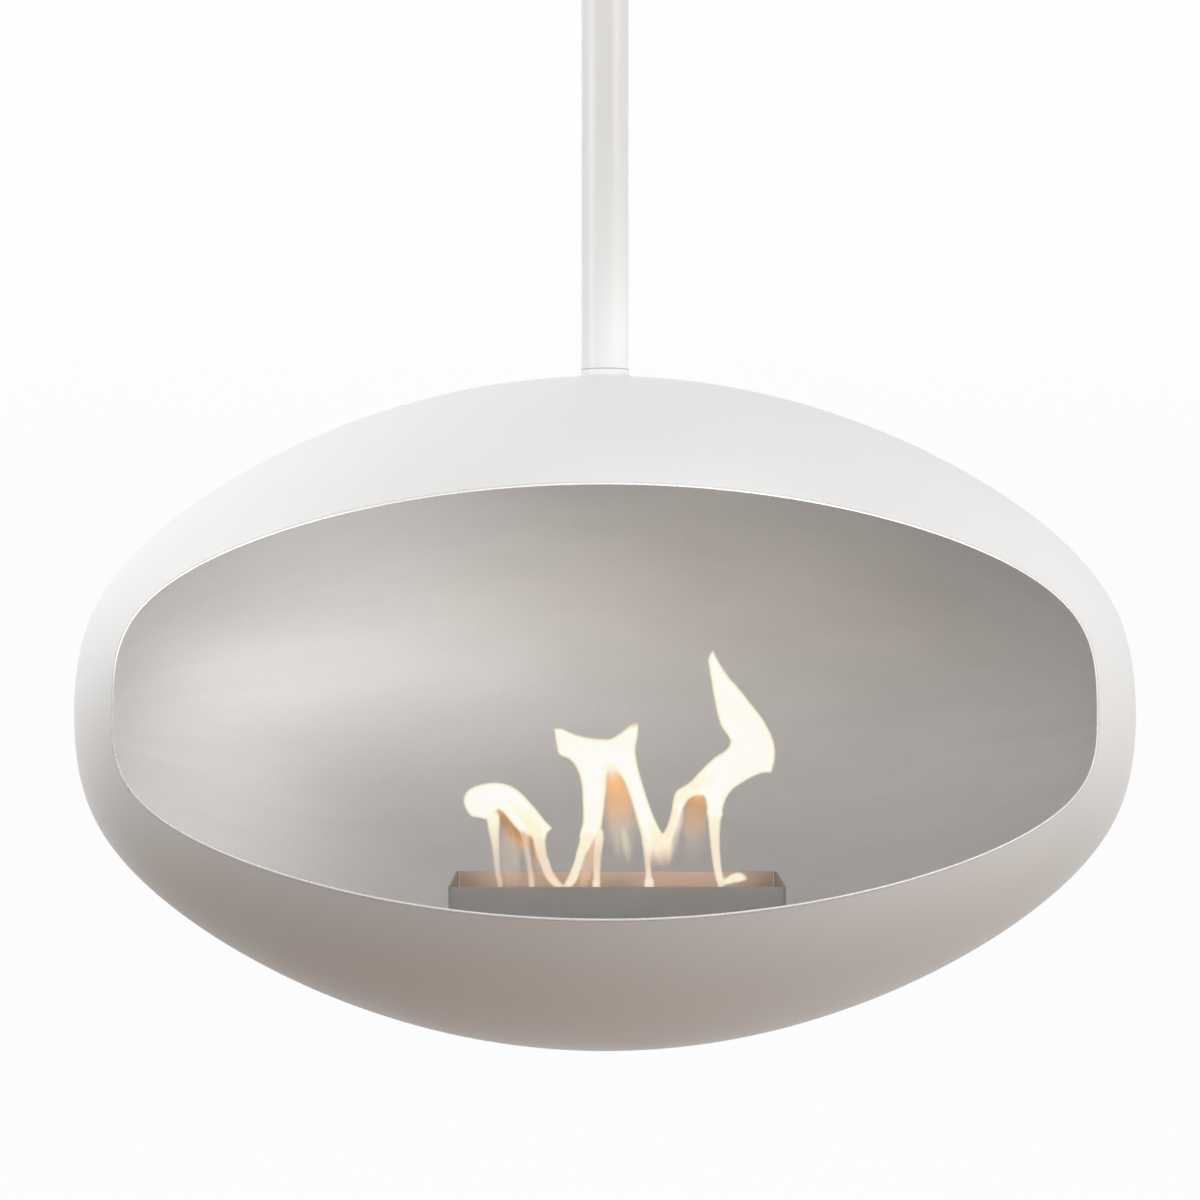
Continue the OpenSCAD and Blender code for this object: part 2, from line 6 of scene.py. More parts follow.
import bpy
import numpy as np
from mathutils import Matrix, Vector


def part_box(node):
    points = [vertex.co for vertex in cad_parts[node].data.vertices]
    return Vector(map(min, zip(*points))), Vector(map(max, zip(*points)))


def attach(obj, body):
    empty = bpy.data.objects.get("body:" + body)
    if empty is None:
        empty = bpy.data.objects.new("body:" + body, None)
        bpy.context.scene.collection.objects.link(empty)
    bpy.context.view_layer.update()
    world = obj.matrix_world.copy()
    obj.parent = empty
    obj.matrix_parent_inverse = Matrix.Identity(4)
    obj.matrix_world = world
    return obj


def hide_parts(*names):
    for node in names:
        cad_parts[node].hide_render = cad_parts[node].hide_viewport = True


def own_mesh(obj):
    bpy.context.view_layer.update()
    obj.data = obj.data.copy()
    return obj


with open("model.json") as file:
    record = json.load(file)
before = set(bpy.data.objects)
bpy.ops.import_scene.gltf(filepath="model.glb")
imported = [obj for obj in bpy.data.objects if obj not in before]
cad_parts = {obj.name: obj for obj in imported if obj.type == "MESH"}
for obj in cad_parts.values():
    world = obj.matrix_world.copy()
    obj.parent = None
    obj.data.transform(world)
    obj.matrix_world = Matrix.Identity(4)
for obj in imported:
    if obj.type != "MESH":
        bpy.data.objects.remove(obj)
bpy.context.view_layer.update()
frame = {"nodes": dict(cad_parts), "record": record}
nodes = frame["nodes"]
bodies = frame["record"]["behaviour"]["bodies"]
bodyOf = {node: body for body, members in bodies.items() for node in members}
slotOf = {part["node"]: part["material_slot"] for part in frame["record"]["subparts"]}
scene = bpy.context.scene
scene.view_settings.view_transform = "Standard"

# The pod is a lens outline turned about X. These are the values of its formula in the frame
pod = {
    "halfWidth": 0.536,
    "halfHeight": 0.344,
    "endPower": 0.300,
    "shoulderDraw": 0.285,
    "shellWall": 0.0015,
    "skinGap": 0.0005,
    "linerWall": 0.0010,
}
mouth = {
    "halfWidth": 0.475,
    "up": 0.215,           # from its widest line to its top
    "down": 0.1855,        # from its widest line to its foot
    "rise": 0.0085,        # of its widest line above the pod's centre
    "power": 0.277,
    "draw": 0.167,
    "beadWidth": 0.0024,
    "beadProud": 0.0005,   # of the outer face of the shell and the inner face of the liner
    "seatGap": 0.0001,     # between the bead and both of them
}
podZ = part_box("outer_shell")[0].z + pod["halfHeight"]
wallAll = pod["shellWall"] + pod["skinGap"] + pod["linerWall"]

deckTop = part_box("burner_deck")[1].z
trayLow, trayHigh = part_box("burner_tray")
slotPlace = {
    "fromTrayFront": 0.042,
    "anchorBelowDeck": 0.011,   # below the deck's top
    "kept": 0.02,               # a share of the flames' height
}
slotMiddle = np.array([(trayLow.x + trayHigh.x) / 2, trayLow.y + slotPlace["fromTrayFront"], deckTop])


# Camera and stage

camera = {
    "distance": 2.8,
    "height": 0.130,       # above the pod's centre
    "focal": 2725,         # pixels of the 1200-pixel frame
    "axis": (605, 585),    # pixel that the camera's axis passes through
    "frame": 1200,
    "sensor": 36,
}


def makeCamera(c):
    data = bpy.data.cameras.new("camera")
    data.sensor_width = c["sensor"]
    data.lens = c["focal"] / c["frame"] * c["sensor"]
    data.shift_x = (c["frame"] / 2 - c["axis"][0]) / c["frame"]
    data.shift_y = (c["axis"][1] - c["frame"] / 2) / c["frame"]
    data.clip_end = 60
    obj = bpy.data.objects.new("camera", data)
    obj.location = (0, -c["distance"], podZ + c["height"])
    obj.rotation_euler = (math.radians(90), 0, 0)
    scene.collection.objects.link(obj)
    scene.camera = obj


makeCamera(camera)

studio = {
    "floorDrop": 0.75,                     # from the pod's foot down to the floor
    "floorSize": 24.0,
    "floorColor": (0.272, 0.168, 0.098),   # what the floor throws back on the object
    "floorSeenColor": (0.90, 0.90, 0.90),  # what the camera sees of it, under the white
    "floorSeenWhite": 0.965,               # share of plain white in what the camera sees of it
    "horizonSeen": 0.975,                  # white of the backdrop at the horizon, which grows to 1 above it
    "horizonFade": 0.25,                   # rise of the line of sight at which it is 1, as a sine
    "sky": {                               # what lights the object, from straight below to straight above
        0.0: (0.30, 0.28, 0.27),
        0.5: (0.42, 0.42, 0.42),
        1.0: (0.46, 0.46, 0.46),
    },
    "cardX": -1.9,                         # a grey card stands to the left of the pod, out of sight
    "cardY": (-2.9, 0.2),
    "cardZ": (-0.9, 0.5),
    "cardGrey": 0.22,
}

# The values of a noise that stand for its low and its high. A steel's tone changes more sharply
noiseRange = (0.3, 0.7)
toneRange = (0.35, 0.65)


def link(tree, out, into):
    tree.links.new(out, into)


def addNode(tree, kind, **values):
    node = tree.nodes.new(kind)
    for key, value in values.items():
        setattr(node, key, value)
    return node


def setSockets(node, values):
    for key, value in values.items():
        node.inputs[key].default_value = value
    return node


def addMath(tree, operation, first, second):
    node = addNode(tree, "ShaderNodeMath", operation=operation)
    link(tree, first, node.inputs[0])
    link(tree, second, node.inputs[1])
    return node.outputs[0]


def addRamp(tree, factor, colors):
    # A colour ramp from a dictionary of places along it and their colours
    ramp = addNode(tree, "ShaderNodeValToRGB")
    stops = ramp.color_ramp.elements
    first, *inner, last = sorted(colors)
    for stop, place in ((stops[0], first), (stops[1], last)):
        stop.position = place
        stop.color = (*colors[place], 1)
    for place in inner:
        stops.new(place).color = (*colors[place], 1)
    link(tree, factor, ramp.inputs["Fac"])
    return ramp.outputs["Color"]


def between(tree, factor, low, high, limits=noiseRange):
    # A value that runs from low to high as the factor runs between its limits
    node = addNode(tree, "ShaderNodeMapRange")
    setSockets(node, {"From Min": limits[0], "From Max": limits[1], "To Min": low, "To Max": high})
    link(tree, factor, node.inputs["Value"])
    return node.outputs["Result"]


def mixShaders(tree, first, second):
    mix = addNode(tree, "ShaderNodeMixShader")
    link(tree, first.outputs[0], mix.inputs[1])
    link(tree, second.outputs[0], mix.inputs[2])
    return mix


def seenDirectly(tree):
    # 1 for rays from the camera, from a gloss or through glass, and 0 for those that only light things
    path = addNode(tree, "ShaderNodeLightPath")
    first = addMath(tree, "MAXIMUM", path.outputs["Is Camera Ray"], path.outputs["Is Glossy Ray"])
    return addMath(tree, "MAXIMUM", first, path.outputs["Is Transmission Ray"])


def makeWorld(s):
    world = bpy.data.worlds.new("studio")
    world.use_nodes = True
    tree = world.node_tree
    tree.nodes.clear()
    coordinate = addNode(tree, "ShaderNodeTexCoord")
    split = addNode(tree, "ShaderNodeSeparateXYZ")
    sky = addNode(tree, "ShaderNodeBackground")
    white = addNode(tree, "ShaderNodeBackground")
    out = addNode(tree, "ShaderNodeOutputWorld")
    link(tree, coordinate.outputs["Generated"], split.inputs[0])
    shown = between(tree, split.outputs["Z"], s["horizonSeen"], 1, (0, s["horizonFade"]))
    link(tree, shown, white.inputs["Color"])
    height = between(tree, split.outputs["Z"], 0, 1, (-1, 1))
    link(tree, addRamp(tree, height, s["sky"]), sky.inputs["Color"])
    mix = mixShaders(tree, sky, white)
    link(tree, seenDirectly(tree), mix.inputs["Fac"])
    link(tree, mix.outputs[0], out.inputs["Surface"])
    scene.world = world


def makeFloor(s):
    half = s["floorSize"] / 2
    z = podZ - pod["halfHeight"] - s["floorDrop"]
    mesh = bpy.data.meshes.new("floor")
    corners = [(-half, -half, z), (half, -half, z), (half, half, z), (-half, half, z)]
    mesh.from_pydata(corners, [], [(0, 1, 2, 3)])
    floor = bpy.data.objects.new("floor", mesh)
    scene.collection.objects.link(floor)
    material = bpy.data.materials.new("paleFloor")
    material.use_nodes = True
    tree = material.node_tree
    tree.nodes.clear()
    thrown = addNode(tree, "ShaderNodeBsdfDiffuse")
    thrown.inputs["Color"].default_value = (*s["floorColor"], 1)
    shown = addNode(tree, "ShaderNodeBsdfDiffuse")
    shown.inputs["Color"].default_value = (*s["floorSeenColor"], 1)
    seen = mixShaders(tree, shown, addNode(tree, "ShaderNodeEmission"))
    seen.inputs["Fac"].default_value = s["floorSeenWhite"]
    mix = mixShaders(tree, thrown, seen)
    link(tree, seenDirectly(tree), mix.inputs["Fac"])
    # From below, the floor is clear
    side = addNode(tree, "ShaderNodeNewGeometry")
    sided = mixShaders(tree, mix, addNode(tree, "ShaderNodeBsdfTransparent"))
    link(tree, side.outputs["Backfacing"], sided.inputs["Fac"])
    out = addNode(tree, "ShaderNodeOutputMaterial")
    link(tree, sided.outputs[0], out.inputs["Surface"])
    mesh.materials.append(material)


def makeCard(s):
    # It takes light away from that side, and the steel inside the pod mirrors it
    (front, back), (foot, top) = s["cardY"], s["cardZ"]
    mesh = bpy.data.meshes.new("greyCard")
    outline = ((front, foot), (back, foot), (back, top), (front, top))
    mesh.from_pydata([(s["cardX"], y, podZ + z) for y, z in outline], [], [(0, 1, 2, 3)])
    card = bpy.data.objects.new("greyCard", mesh)
    scene.collection.objects.link(card)
    material = bpy.data.materials.new("greyCard")
    material.use_nodes = True
    shader = material.node_tree.nodes["Principled BSDF"]
    shader.inputs["Base Color"].default_value = (s["cardGrey"],) * 3 + (1,)
    shader.inputs["Roughness"].default_value = 1
    mesh.materials.append(material)
    card.visible_camera = False


makeWorld(studio)
makeFloor(studio)
makeCard(studio)

# Places are measured from the pod's centre, and the powers are in watts
softboxes = {
    "leftShoulder": {"at": (-1.5, -0.55, 0.95), "size": 1.0, "power": 15.5, "aim": (-0.2, 0, 0.2)},
    "rightFront": {"at": (1.7, -1.1, 1.3), "size": 1.0, "power": 19, "aim": (0.1, 0, 0.15)},
    "lowRight": {"at": (1.7, -2.3, -0.88), "size": 1.4, "power": 29, "aim": (-0.1, 0, 0)},
}


def placeLamp(name, data, s):
    lamp = bpy.data.objects.new(name, data)
    lamp.location = np.array(s["at"]) + (0, 0, podZ)
    towards = np.array(s["aim"]) - np.array(s["at"])
    lamp.rotation_euler = (
        math.atan2(math.hypot(towards[0], towards[1]), -towards[2]),
        0,
        math.atan2(towards[1], towards[0]) - math.pi / 2,
    )
    lamp.visible_camera = False
    scene.collection.objects.link(lamp)
    return lamp


def makeSoftbox(name, s):
    data = bpy.data.lights.new(name, "AREA")
    data.shape = "SQUARE"
    data.size = s["size"]
    data.energy = s["power"]
    placeLamp(name, data, s)


for name, s in softboxes.items():
    makeSoftbox(name, s)

# These shine through the mouth on to the left of the liner. Their cones are in degrees
spots = {
    "upperSpot": {
        "at": (1.5, -1.95, 0.05), "aim": (-0.32, 0.24, 0.21), "cone": 12, "soft": 0.2, "power": 160,
    },
    "lowerSpot": {
        "at": (1.6, -1.7, 0.6), "aim": (-0.45, 0.16, -0.10), "cone": 8, "soft": 0.1, "power": 140,
    },
}


def makeSpot(name, s):
    data = bpy.data.lights.new(name, "SPOT")
    data.spot_size = math.radians(s["cone"])
    data.spot_blend = 1
    data.shadow_soft_size = s["soft"]
    data.energy = s["power"]
    placeLamp(name, data, s).visible_glossy = False


for name, s in spots.items():
    makeSpot(name, s)

# The fire's own light on the burner's back wall, as a low strip just behind the flames
fireGlow = {
    "long": 0.31,
    "high": 0.05,
    "behind": 0.014,       # the slot's middle
    "up": 0.028,           # from the deck
    "power": 0.07,
    "color": (1, 0.62, 0.40),
}


def makeFireGlow(s):
    data = bpy.data.lights.new("fireGlow", "AREA")
    data.shape = "RECTANGLE"
    data.size = s["long"]
    data.size_y = s["high"]
    data.energy = s["power"]
    data.color = s["color"]
    lamp = bpy.data.objects.new("fireGlow", data)
    lamp.location = slotMiddle + (0, s["behind"], s["up"])
    lamp.rotation_euler = (math.radians(90), 0, 0)
    lamp.visible_camera = False
    scene.collection.objects.link(lamp)


makeFireGlow(fireGlow)
print("stage ready")


# Shared effects, as node groups

def newGroup(name, inputs, outputs):
    group = bpy.data.node_groups.new(name, "ShaderNodeTree")
    for label, kind, value in inputs:
        socket = group.interface.new_socket(name=label, in_out="INPUT", socket_type=kind)
        if value is not None:
            socket.default_value = value
    for label, kind in outputs:
        group.interface.new_socket(name=label, in_out="OUTPUT", socket_type=kind)
    return group, addNode(group, "NodeGroupInput"), addNode(group, "NodeGroupOutput")


def addNoise(tree, place, **values):
    node = setSockets(addNode(tree, "ShaderNodeTexNoise"), values)
    link(tree, place, node.inputs["Vector"])
    return node


def makeSpinGroup():
    # Unrolls a surface turned about X through the pod's centre: u along the axis, v round it
    group, into, out = newGroup(
        "unrolledPod",
        [("Vector", "NodeSocketVector", None), ("Centre", "NodeSocketFloat", podZ)],
        [("Vector", "NodeSocketVector")],
    )
    split = addNode(group, "ShaderNodeSeparateXYZ")
    link(group, into.outputs["Vector"], split.inputs[0])
    height = addMath(group, "SUBTRACT", split.outputs["Z"], into.outputs["Centre"])
    join = addNode(group, "ShaderNodeCombineXYZ")
    link(group, split.outputs["X"], join.inputs["X"])
    link(group, addMath(group, "ARCTAN2", height, split.outputs["Y"]), join.inputs["Y"])
    link(group, join.outputs[0], out.inputs["Vector"])
    return group


def makeGrainGroup():
    # Brushed grain: noise drawn out along one direction, with a slow change of tone under it
    group, into, out = newGroup(
        "brushedGrain",
        [
            ("Vector", "NodeSocketVector", None),
            ("Stretch", "NodeSocketVector", (1, 1, 1)),
            ("Scale", "NodeSocketFloat", 1.0),
        ],
        [("Grain", "NodeSocketFloat"), ("Tone", "NodeSocketFloat")],
    )
    stretch = addNode(group, "ShaderNodeVectorMath", operation="MULTIPLY")
    link(group, into.outputs["Vector"], stretch.inputs[0])
    link(group, into.outputs["Stretch"], stretch.inputs[1])
    fine = addNoise(group, stretch.outputs[0], Detail=5, Roughness=0.6)
    link(group, into.outputs["Scale"], fine.inputs["Scale"])
    slow = addNoise(group, into.outputs["Vector"], Scale=7, Detail=3)
    link(group, fine.outputs["Fac"], out.inputs["Grain"])
    link(group, slow.outputs["Fac"], out.inputs["Tone"])
    return group


def makeSpeckleGroup():
    # Fine even texture, such as orange peel or grit, with a slow haze of handling over it
    group, into, out = newGroup(
        "speckle",
        [("Vector", "NodeSocketVector", None), ("Scale", "NodeSocketFloat", 600.0)],
        [("Speckle", "NodeSocketFloat"), ("Haze", "NodeSocketFloat")],
    )
    fine = addNoise(group, into.outputs["Vector"], Detail=2)
    link(group, into.outputs["Scale"], fine.inputs["Scale"])
    haze = addNoise(group, into.outputs["Vector"], Scale=5, Detail=4)
    link(group, fine.outputs["Fac"], out.inputs["Speckle"])
    link(group, haze.outputs["Fac"], out.inputs["Haze"])
    return group


heatStain = {
    "weights": (0.22, 1, 1),   # the slot is long, so distance along it counts less
    "blotches": 28,
    "blotchy": (0.8, 1.25),    # what a blotch multiplies the distance by
    "colors": {                # by the distance, as a share of its reach
        0.0: (0.62, 0.60, 0.60),
        0.22: (0.60, 0.68, 0.86),
        0.42: (0.84, 0.62, 0.56),
        0.65: (1, 0.86, 0.62),
        1.0: (1, 1, 1),
    },
}


def makeHeatTintGroup(s):
    # The straw, bronze and blue that heat leaves on steel, by the distance from the flame slot
    group, into, out = newGroup(
        "heatTint",
        [
            ("Vector", "NodeSocketVector", None),
            ("Color", "NodeSocketColor", (0.5, 0.5, 0.5, 1)),
            ("Reach", "NodeSocketFloat", 0.05),
            ("Share", "NodeSocketFloat", 0.6),
        ],
        [("Color", "NodeSocketColor")],
    )
    offset = addNode(group, "ShaderNodeVectorMath", operation="SUBTRACT")
    offset.inputs[1].default_value = slotMiddle
    weigh = addNode(group, "ShaderNodeVectorMath", operation="MULTIPLY")
    weigh.inputs[1].default_value = s["weights"]
    away = addNode(group, "ShaderNodeVectorMath", operation="LENGTH")
    link(group, into.outputs["Vector"], offset.inputs[0])
    link(group, offset.outputs[0], weigh.inputs[0])
    link(group, weigh.outputs[0], away.inputs[0])
    blotch = addNoise(group, into.outputs["Vector"], Scale=s["blotches"])
    shift = between(group, blotch.outputs["Fac"], *s["blotchy"])
    patchy = addMath(group, "MULTIPLY", away.outputs["Value"], shift)
    near = addMath(group, "DIVIDE", patchy, into.outputs["Reach"])
    dye = addNode(group, "ShaderNodeMix", data_type="RGBA", blend_type="MULTIPLY")
    link(group, into.outputs["Share"], dye.inputs["Factor"])
    link(group, into.outputs["Color"], dye.inputs[6])
    link(group, addRamp(group, near, s["colors"]), dye.inputs[7])
    link(group, dye.outputs[2], out.inputs["Color"])
    return group


unrolledPod = makeSpinGroup()
brushedGrain = makeGrainGroup()
speckle = makeSpeckleGroup()
heatTint = makeHeatTintGroup(heatStain)


def useGroup(tree, group, place, **values):
    node = setSockets(addNode(tree, "ShaderNodeGroup", node_tree=group), values)
    link(tree, place, node.inputs["Vector"])
    return node


def startMaterial(name):
    material = bpy.data.materials.new(name)
    material.use_nodes = True
    tree = material.node_tree
    coordinate = addNode(tree, "ShaderNodeTexCoord")
    return material, tree, tree.nodes["Principled BSDF"], coordinate.outputs["Object"]


def tint(tree, factor, low, high, limits=noiseRange):
    # A colour that runs from low to high as the factor runs between its limits
    return addRamp(tree, factor, {limits[0]: low, limits[1]: high})


def bump(tree, shader, height, strength, depth):
    node = setSockets(addNode(tree, "ShaderNodeBump"), {"Strength": strength, "Distance": depth})
    link(tree, height, node.inputs["Height"])
    link(tree, node.outputs["Normal"], shader.inputs["Normal"])


coat = {
    "color": (0.845, 0.845, 0.84),
    "colorHazed": (0.83, 0.828, 0.82),
    "gloss": (0.34, 0.42),
    "peelScale": 750,
    "peel": 0.25,
    "peelDepth": 0.00006,
}


def powderCoat(name, c):
    material, tree, shader, place = startMaterial(name)
    texture = useGroup(tree, speckle, place, Scale=c["peelScale"])
    color = tint(tree, texture.outputs["Haze"], c["colorHazed"], c["color"])
    link(tree, color, shader.inputs["Base Color"])
    link(tree, between(tree, texture.outputs["Haze"], *c["gloss"]), shader.inputs["Roughness"])
    bump(tree, shader, texture.outputs["Speckle"], c["peel"], c["peelDepth"])
    return material


def brushedSteel(name, s):
    material, tree, shader, place = startMaterial(name)
    along = useGroup(tree, unrolledPod, place).outputs["Vector"] if s["spun"] else place
    grain = useGroup(tree, brushedGrain, along, Stretch=s["stretch"], Scale=s["scale"])
    shader.inputs["Metallic"].default_value = s["metallic"]
    shader.inputs["Anisotropic"].default_value = s["anisotropy"]
    tone = addNode(tree, "ShaderNodeMix", data_type="FLOAT")
    tone.inputs["Factor"].default_value = s["toneShare"]
    link(tree, grain.outputs["Grain"], tone.inputs["A"])
    link(tree, grain.outputs["Tone"], tone.inputs["B"])
    color = tint(tree, tone.outputs["Result"], *s["colors"], toneRange)
    if s["heated"]:
        heated = useGroup(tree, heatTint, place, Share=s["heated"])
        link(tree, color, heated.inputs["Color"])
        color = heated.outputs["Color"]
    link(tree, color, shader.inputs["Base Color"])
    link(tree, between(tree, grain.outputs["Grain"], *s["roughness"]), shader.inputs["Roughness"])
    bump(tree, shader, grain.outputs["Grain"], s["bump"], s["bumpDepth"])
    return material


# What a steel has where it says nothing else
plainSteel = {
    "metallic": 1,
    "anisotropy": 0.3,
    "toneShare": 0.5,      # of the slow change of tone, against the fine grain
    "bump": 0.15,
    "bumpDepth": 0.00005,
    "spun": False,         # whether its grain runs round the pod
    "heated": 0,           # share of the heat's colours
}
steels = {
    "liner_steel": {
        "colors": ((0.80, 0.792, 0.785), (0.86, 0.854, 0.85)),
        "roughness": (0.50, 0.58),
        "metallic": 0.5,
        "stretch": (1, 0.02, 1),
        "scale": 900,
        "spun": True,
        "anisotropy": 0.2,
        "bump": 0.05,
    },
    "rim_steel": {
        "colors": ((0.88, 0.875, 0.865), (0.94, 0.935, 0.93)),
        "roughness": (0.24, 0.34),
        "metallic": 0.3,
        "stretch": (1, 1, 1),
        "scale": 700,
    },
    "fitting_steel": {
        "colors": ((0.52, 0.525, 0.53), (0.62, 0.62, 0.625)),
        "roughness": (0.25, 0.42),
        "stretch": (1, 1, 0.3),
        "scale": 220,
    },
    "burner_steel": {
        "colors": ((0.37, 0.36, 0.35), (0.43, 0.42, 0.41)),
        "roughness": (0.34, 0.46),
        "heated": 0.2,
        "stretch": (0.03, 1, 1),
        "scale": 700,
    },
    "tank_steel": {
        "colors": ((0.42, 0.40, 0.38), (0.50, 0.48, 0.46)),
        "heated": 0.8,
        "roughness": (0.28, 0.42),
        "stretch": (0.04, 1, 1),
        "scale": 600,
    },
}

grit = {"roughness": 0.95, "bump": 0.6, "bumpDepth": 0.0006}
wool = {**grit, "color": (0.88, 0.86, 0.80), "shade": (0.70, 0.67, 0.60), "scale": 260}
pad = {**grit, "color": (0.80, 0.76, 0.68), "shade": (0.66, 0.61, 0.53), "scale": 420}


def grittyMatter(name, m):
    material, tree, shader, place = startMaterial(name)
    texture = useGroup(tree, speckle, place, Scale=m["scale"])
    link(tree, tint(tree, texture.outputs["Speckle"], m["shade"], m["color"]), shader.inputs["Base Color"])
    shader.inputs["Roughness"].default_value = m["roughness"]
    bump(tree, shader, texture.outputs["Speckle"], m["bump"], m["bumpDepth"])
    return material


materials = {slot: brushedSteel(slot, {**plainSteel, **s}) for slot, s in steels.items()}
materials["white_coat"] = powderCoat("white_coat", coat)
materials["ceramic_wool"] = grittyMatter("ceramic_wool", wool)
materials["ceramic_pad"] = grittyMatter("ceramic_pad", pad)
print("materials ready:", len(materials))

softEdges = {
    "width": 0.0006,
    "segments": 2,
    "sharperThan": 40,
    "joinWithin": 0.000005,
    "leave": ("pole", "pod_collar"),    # a chamfer and a flare are their own soft edges
}


def softenEdges(node, s):
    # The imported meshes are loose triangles, so they are joined before their edges are rounded
    weld = node.modifiers.new("join", "WELD")
    weld.merge_threshold = s["joinWithin"]
    bevel = node.modifiers.new("softEdges", "BEVEL")
    bevel.width = s["width"]
    bevel.segments = s["segments"]
    bevel.limit_method = "ANGLE"
    bevel.angle_limit = math.radians(s["sharperThan"])
    bevel.harden_normals = True


for name, node in nodes.items():
    node.data.materials.clear()
    node.data.materials.append(materials[slotOf[name]])
    if name not in softEdges["leave"]:
        softenEdges(node, softEdges)


# The pod's skins and rim, worked out smooth from the formula

def lensProfile(share, power, draw):
    # (1 - u^2)^power * (1 - draw * u^2), where u runs from -1 at one end to 1 at the other
    across = np.clip(1 - share * share, 0, 1)
    return across ** power * (1 - draw * share * share)


def podRadius(x, inset):
    # The body's radius about X at each x, for a surface that lies inset inside the outer face
    share = np.clip(x / (pod["halfWidth"] - inset), -1, 1)
    return (pod["halfHeight"] - inset) * lensProfile(share, pod["endPower"], pod["shoulderDraw"])


def mouthOutline(turn, grow):
    # The mouth seen square on: x = w sin(t), z = h |cos(t)|^(2 power) (1 - draw sin^2(t)), with one
    # height h above its widest line and another below it
    share = np.sin(turn)
    x = (mouth["halfWidth"] + grow) * share
    reach = np.where(np.cos(turn) >= 0, mouth["up"], mouth["down"]) + grow
    height = reach * lensProfile(share, mouth["power"], mouth["draw"])
    return x, mouth["rise"] + np.sign(np.cos(turn)) * height


outlineSamples = 60001


def evenTurns(count):
    # Values of the outline's parameter that are spaced evenly along its length
    fine = np.linspace(0, 2 * math.pi, outlineSamples)
    x, z = mouthOutline(fine, 0)
    length = np.concatenate([[0], np.cumsum(np.hypot(np.diff(x), np.diff(z)))])
    return np.interp(np.arange(count) * length[-1] / count, length, fine)


def rimPoints(turn, grow, inset):
    # The mouth's outline dropped on to the front of the body
    x, z = mouthOutline(turn, grow)
    y = -np.sqrt(np.maximum(podRadius(x, inset) ** 2 - z ** 2, 0))
    return np.stack([x, y, z], -1)


rays = {"reach": 1.5, "halvings": 46}   # the reach in half widths of the pod


def skinSurface(turn, steps, grow, inset):
    # Each meridian swings from the rim round to the back centre in the plane that holds both, and a ray
    # from the pod's centre along it meets the body at the surface. The rays are solved by halving
    rim = rimPoints(turn, grow, inset)
    sideways = np.hypot(rim[:, 0], rim[:, 2])
    start = np.arctan2(sideways, rim[:, 1])
    swing = start[:, None] * (1 - np.arange(steps) / steps)[None, :]
    side = np.sin(swing)
    ray = np.stack([
        side * (rim[:, 0] / sideways)[:, None],
        np.cos(swing),
        side * (rim[:, 2] / sideways)[:, None],
    ], -1)
    girth = np.hypot(ray[..., 1], ray[..., 2])
    low = np.zeros_like(girth)
    high = np.full_like(girth, pod["halfWidth"] * rays["reach"])
    for _ in range(rays["halvings"]):
        middle = (low + high) / 2
        outside = girth * middle > podRadius(ray[..., 0] * middle, inset)
        high = np.where(outside, middle, high)
        low = np.where(outside, low, middle)
    return ray * ((low + high) / 2)[..., None]


def wrapQuads(rings, steps, offset=0):
    # Quads of a grid that closes round its rings, each point numbered ring * steps + step
    ring, step = np.meshgrid(np.arange(rings), np.arange(steps - 1), indexing="ij")
    after = (ring + 1) % rings
    corners = [ring * steps + step, after * steps + step, after * steps + step + 1, ring * steps + step + 1]
    return np.stack(corners, -1).reshape(-1, 4) + offset


def tubeQuads(rings, steps):
    # The same for a grid whose rings close on themselves too
    quads = wrapQuads(rings, steps + 1)
    return quads // (steps + 1) * steps + quads % (steps + 1) % steps


def newPiece(name, points, faces, material, body, replaced=(), sharp=None):
    mesh = bpy.data.meshes.new(name)
    mesh.from_pydata(points.tolist(), [], faces)
    mesh.materials.append(material)
    mesh.shade_smooth()
    if sharp is not None:
        mesh.set_sharp_from_angle(angle=math.radians(sharp))
    piece = bpy.data.objects.new(name, mesh)
    scene.collection.objects.link(piece)
    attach(piece, body)
    if replaced:
        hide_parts(*replaced)
    return piece


skin = {"rings": 320, "steps": 112, "sharp": 50}


def makeSkin(name, node, inset, wall, sheet):
    # A closed sheet: its outer face, its inner face and the strip that joins them at the mouth
    turn = evenTurns(sheet["rings"])
    grow = mouth["beadWidth"] + mouth["seatGap"]
    rings, steps = sheet["rings"], sheet["steps"]
    outer = skinSurface(turn, steps, grow, inset).reshape(-1, 3)
    inner = skinSurface(turn, steps, grow, inset + wall).reshape(-1, 3)
    backs = np.array([[0, podRadius(0.0, inset + w), 0] for w in (0, wall)])
    points = np.concatenate([outer, inner, backs]) + np.array([0, 0, podZ])
    count = rings * steps
    outerQuads = wrapQuads(rings, steps)
    innerQuads = wrapQuads(rings, steps, count)[:, ::-1]
    ring = np.arange(rings)
    after = (ring + 1) % rings
    strip = np.stack([ring * steps, count + ring * steps, count + after * steps, after * steps], -1)
    last = ring * steps + steps - 1
    lastAfter = after * steps + steps - 1
    outerCap = np.stack([last, lastAfter, np.full(rings, 2 * count)], -1)
    innerCap = np.stack([count + lastAfter, count + last, np.full(rings, 2 * count + 1)], -1)
    faces = [face for part in (outerQuads, innerQuads, strip, outerCap, innerCap) for face in part.tolist()]
    slot = slotOf[node]
    return newPiece(name, points, faces, materials[slot], bodyOf[node], (node,), sheet["sharp"])


bead = {"rings": 700, "steps": 14, "squareness": 0.6}


def squared(wave, power):
    # A wave between 0 and 1 that stays longer near both of them as the power falls below 1
    return 0.5 + 0.5 * np.sign(wave) * np.abs(wave) ** power


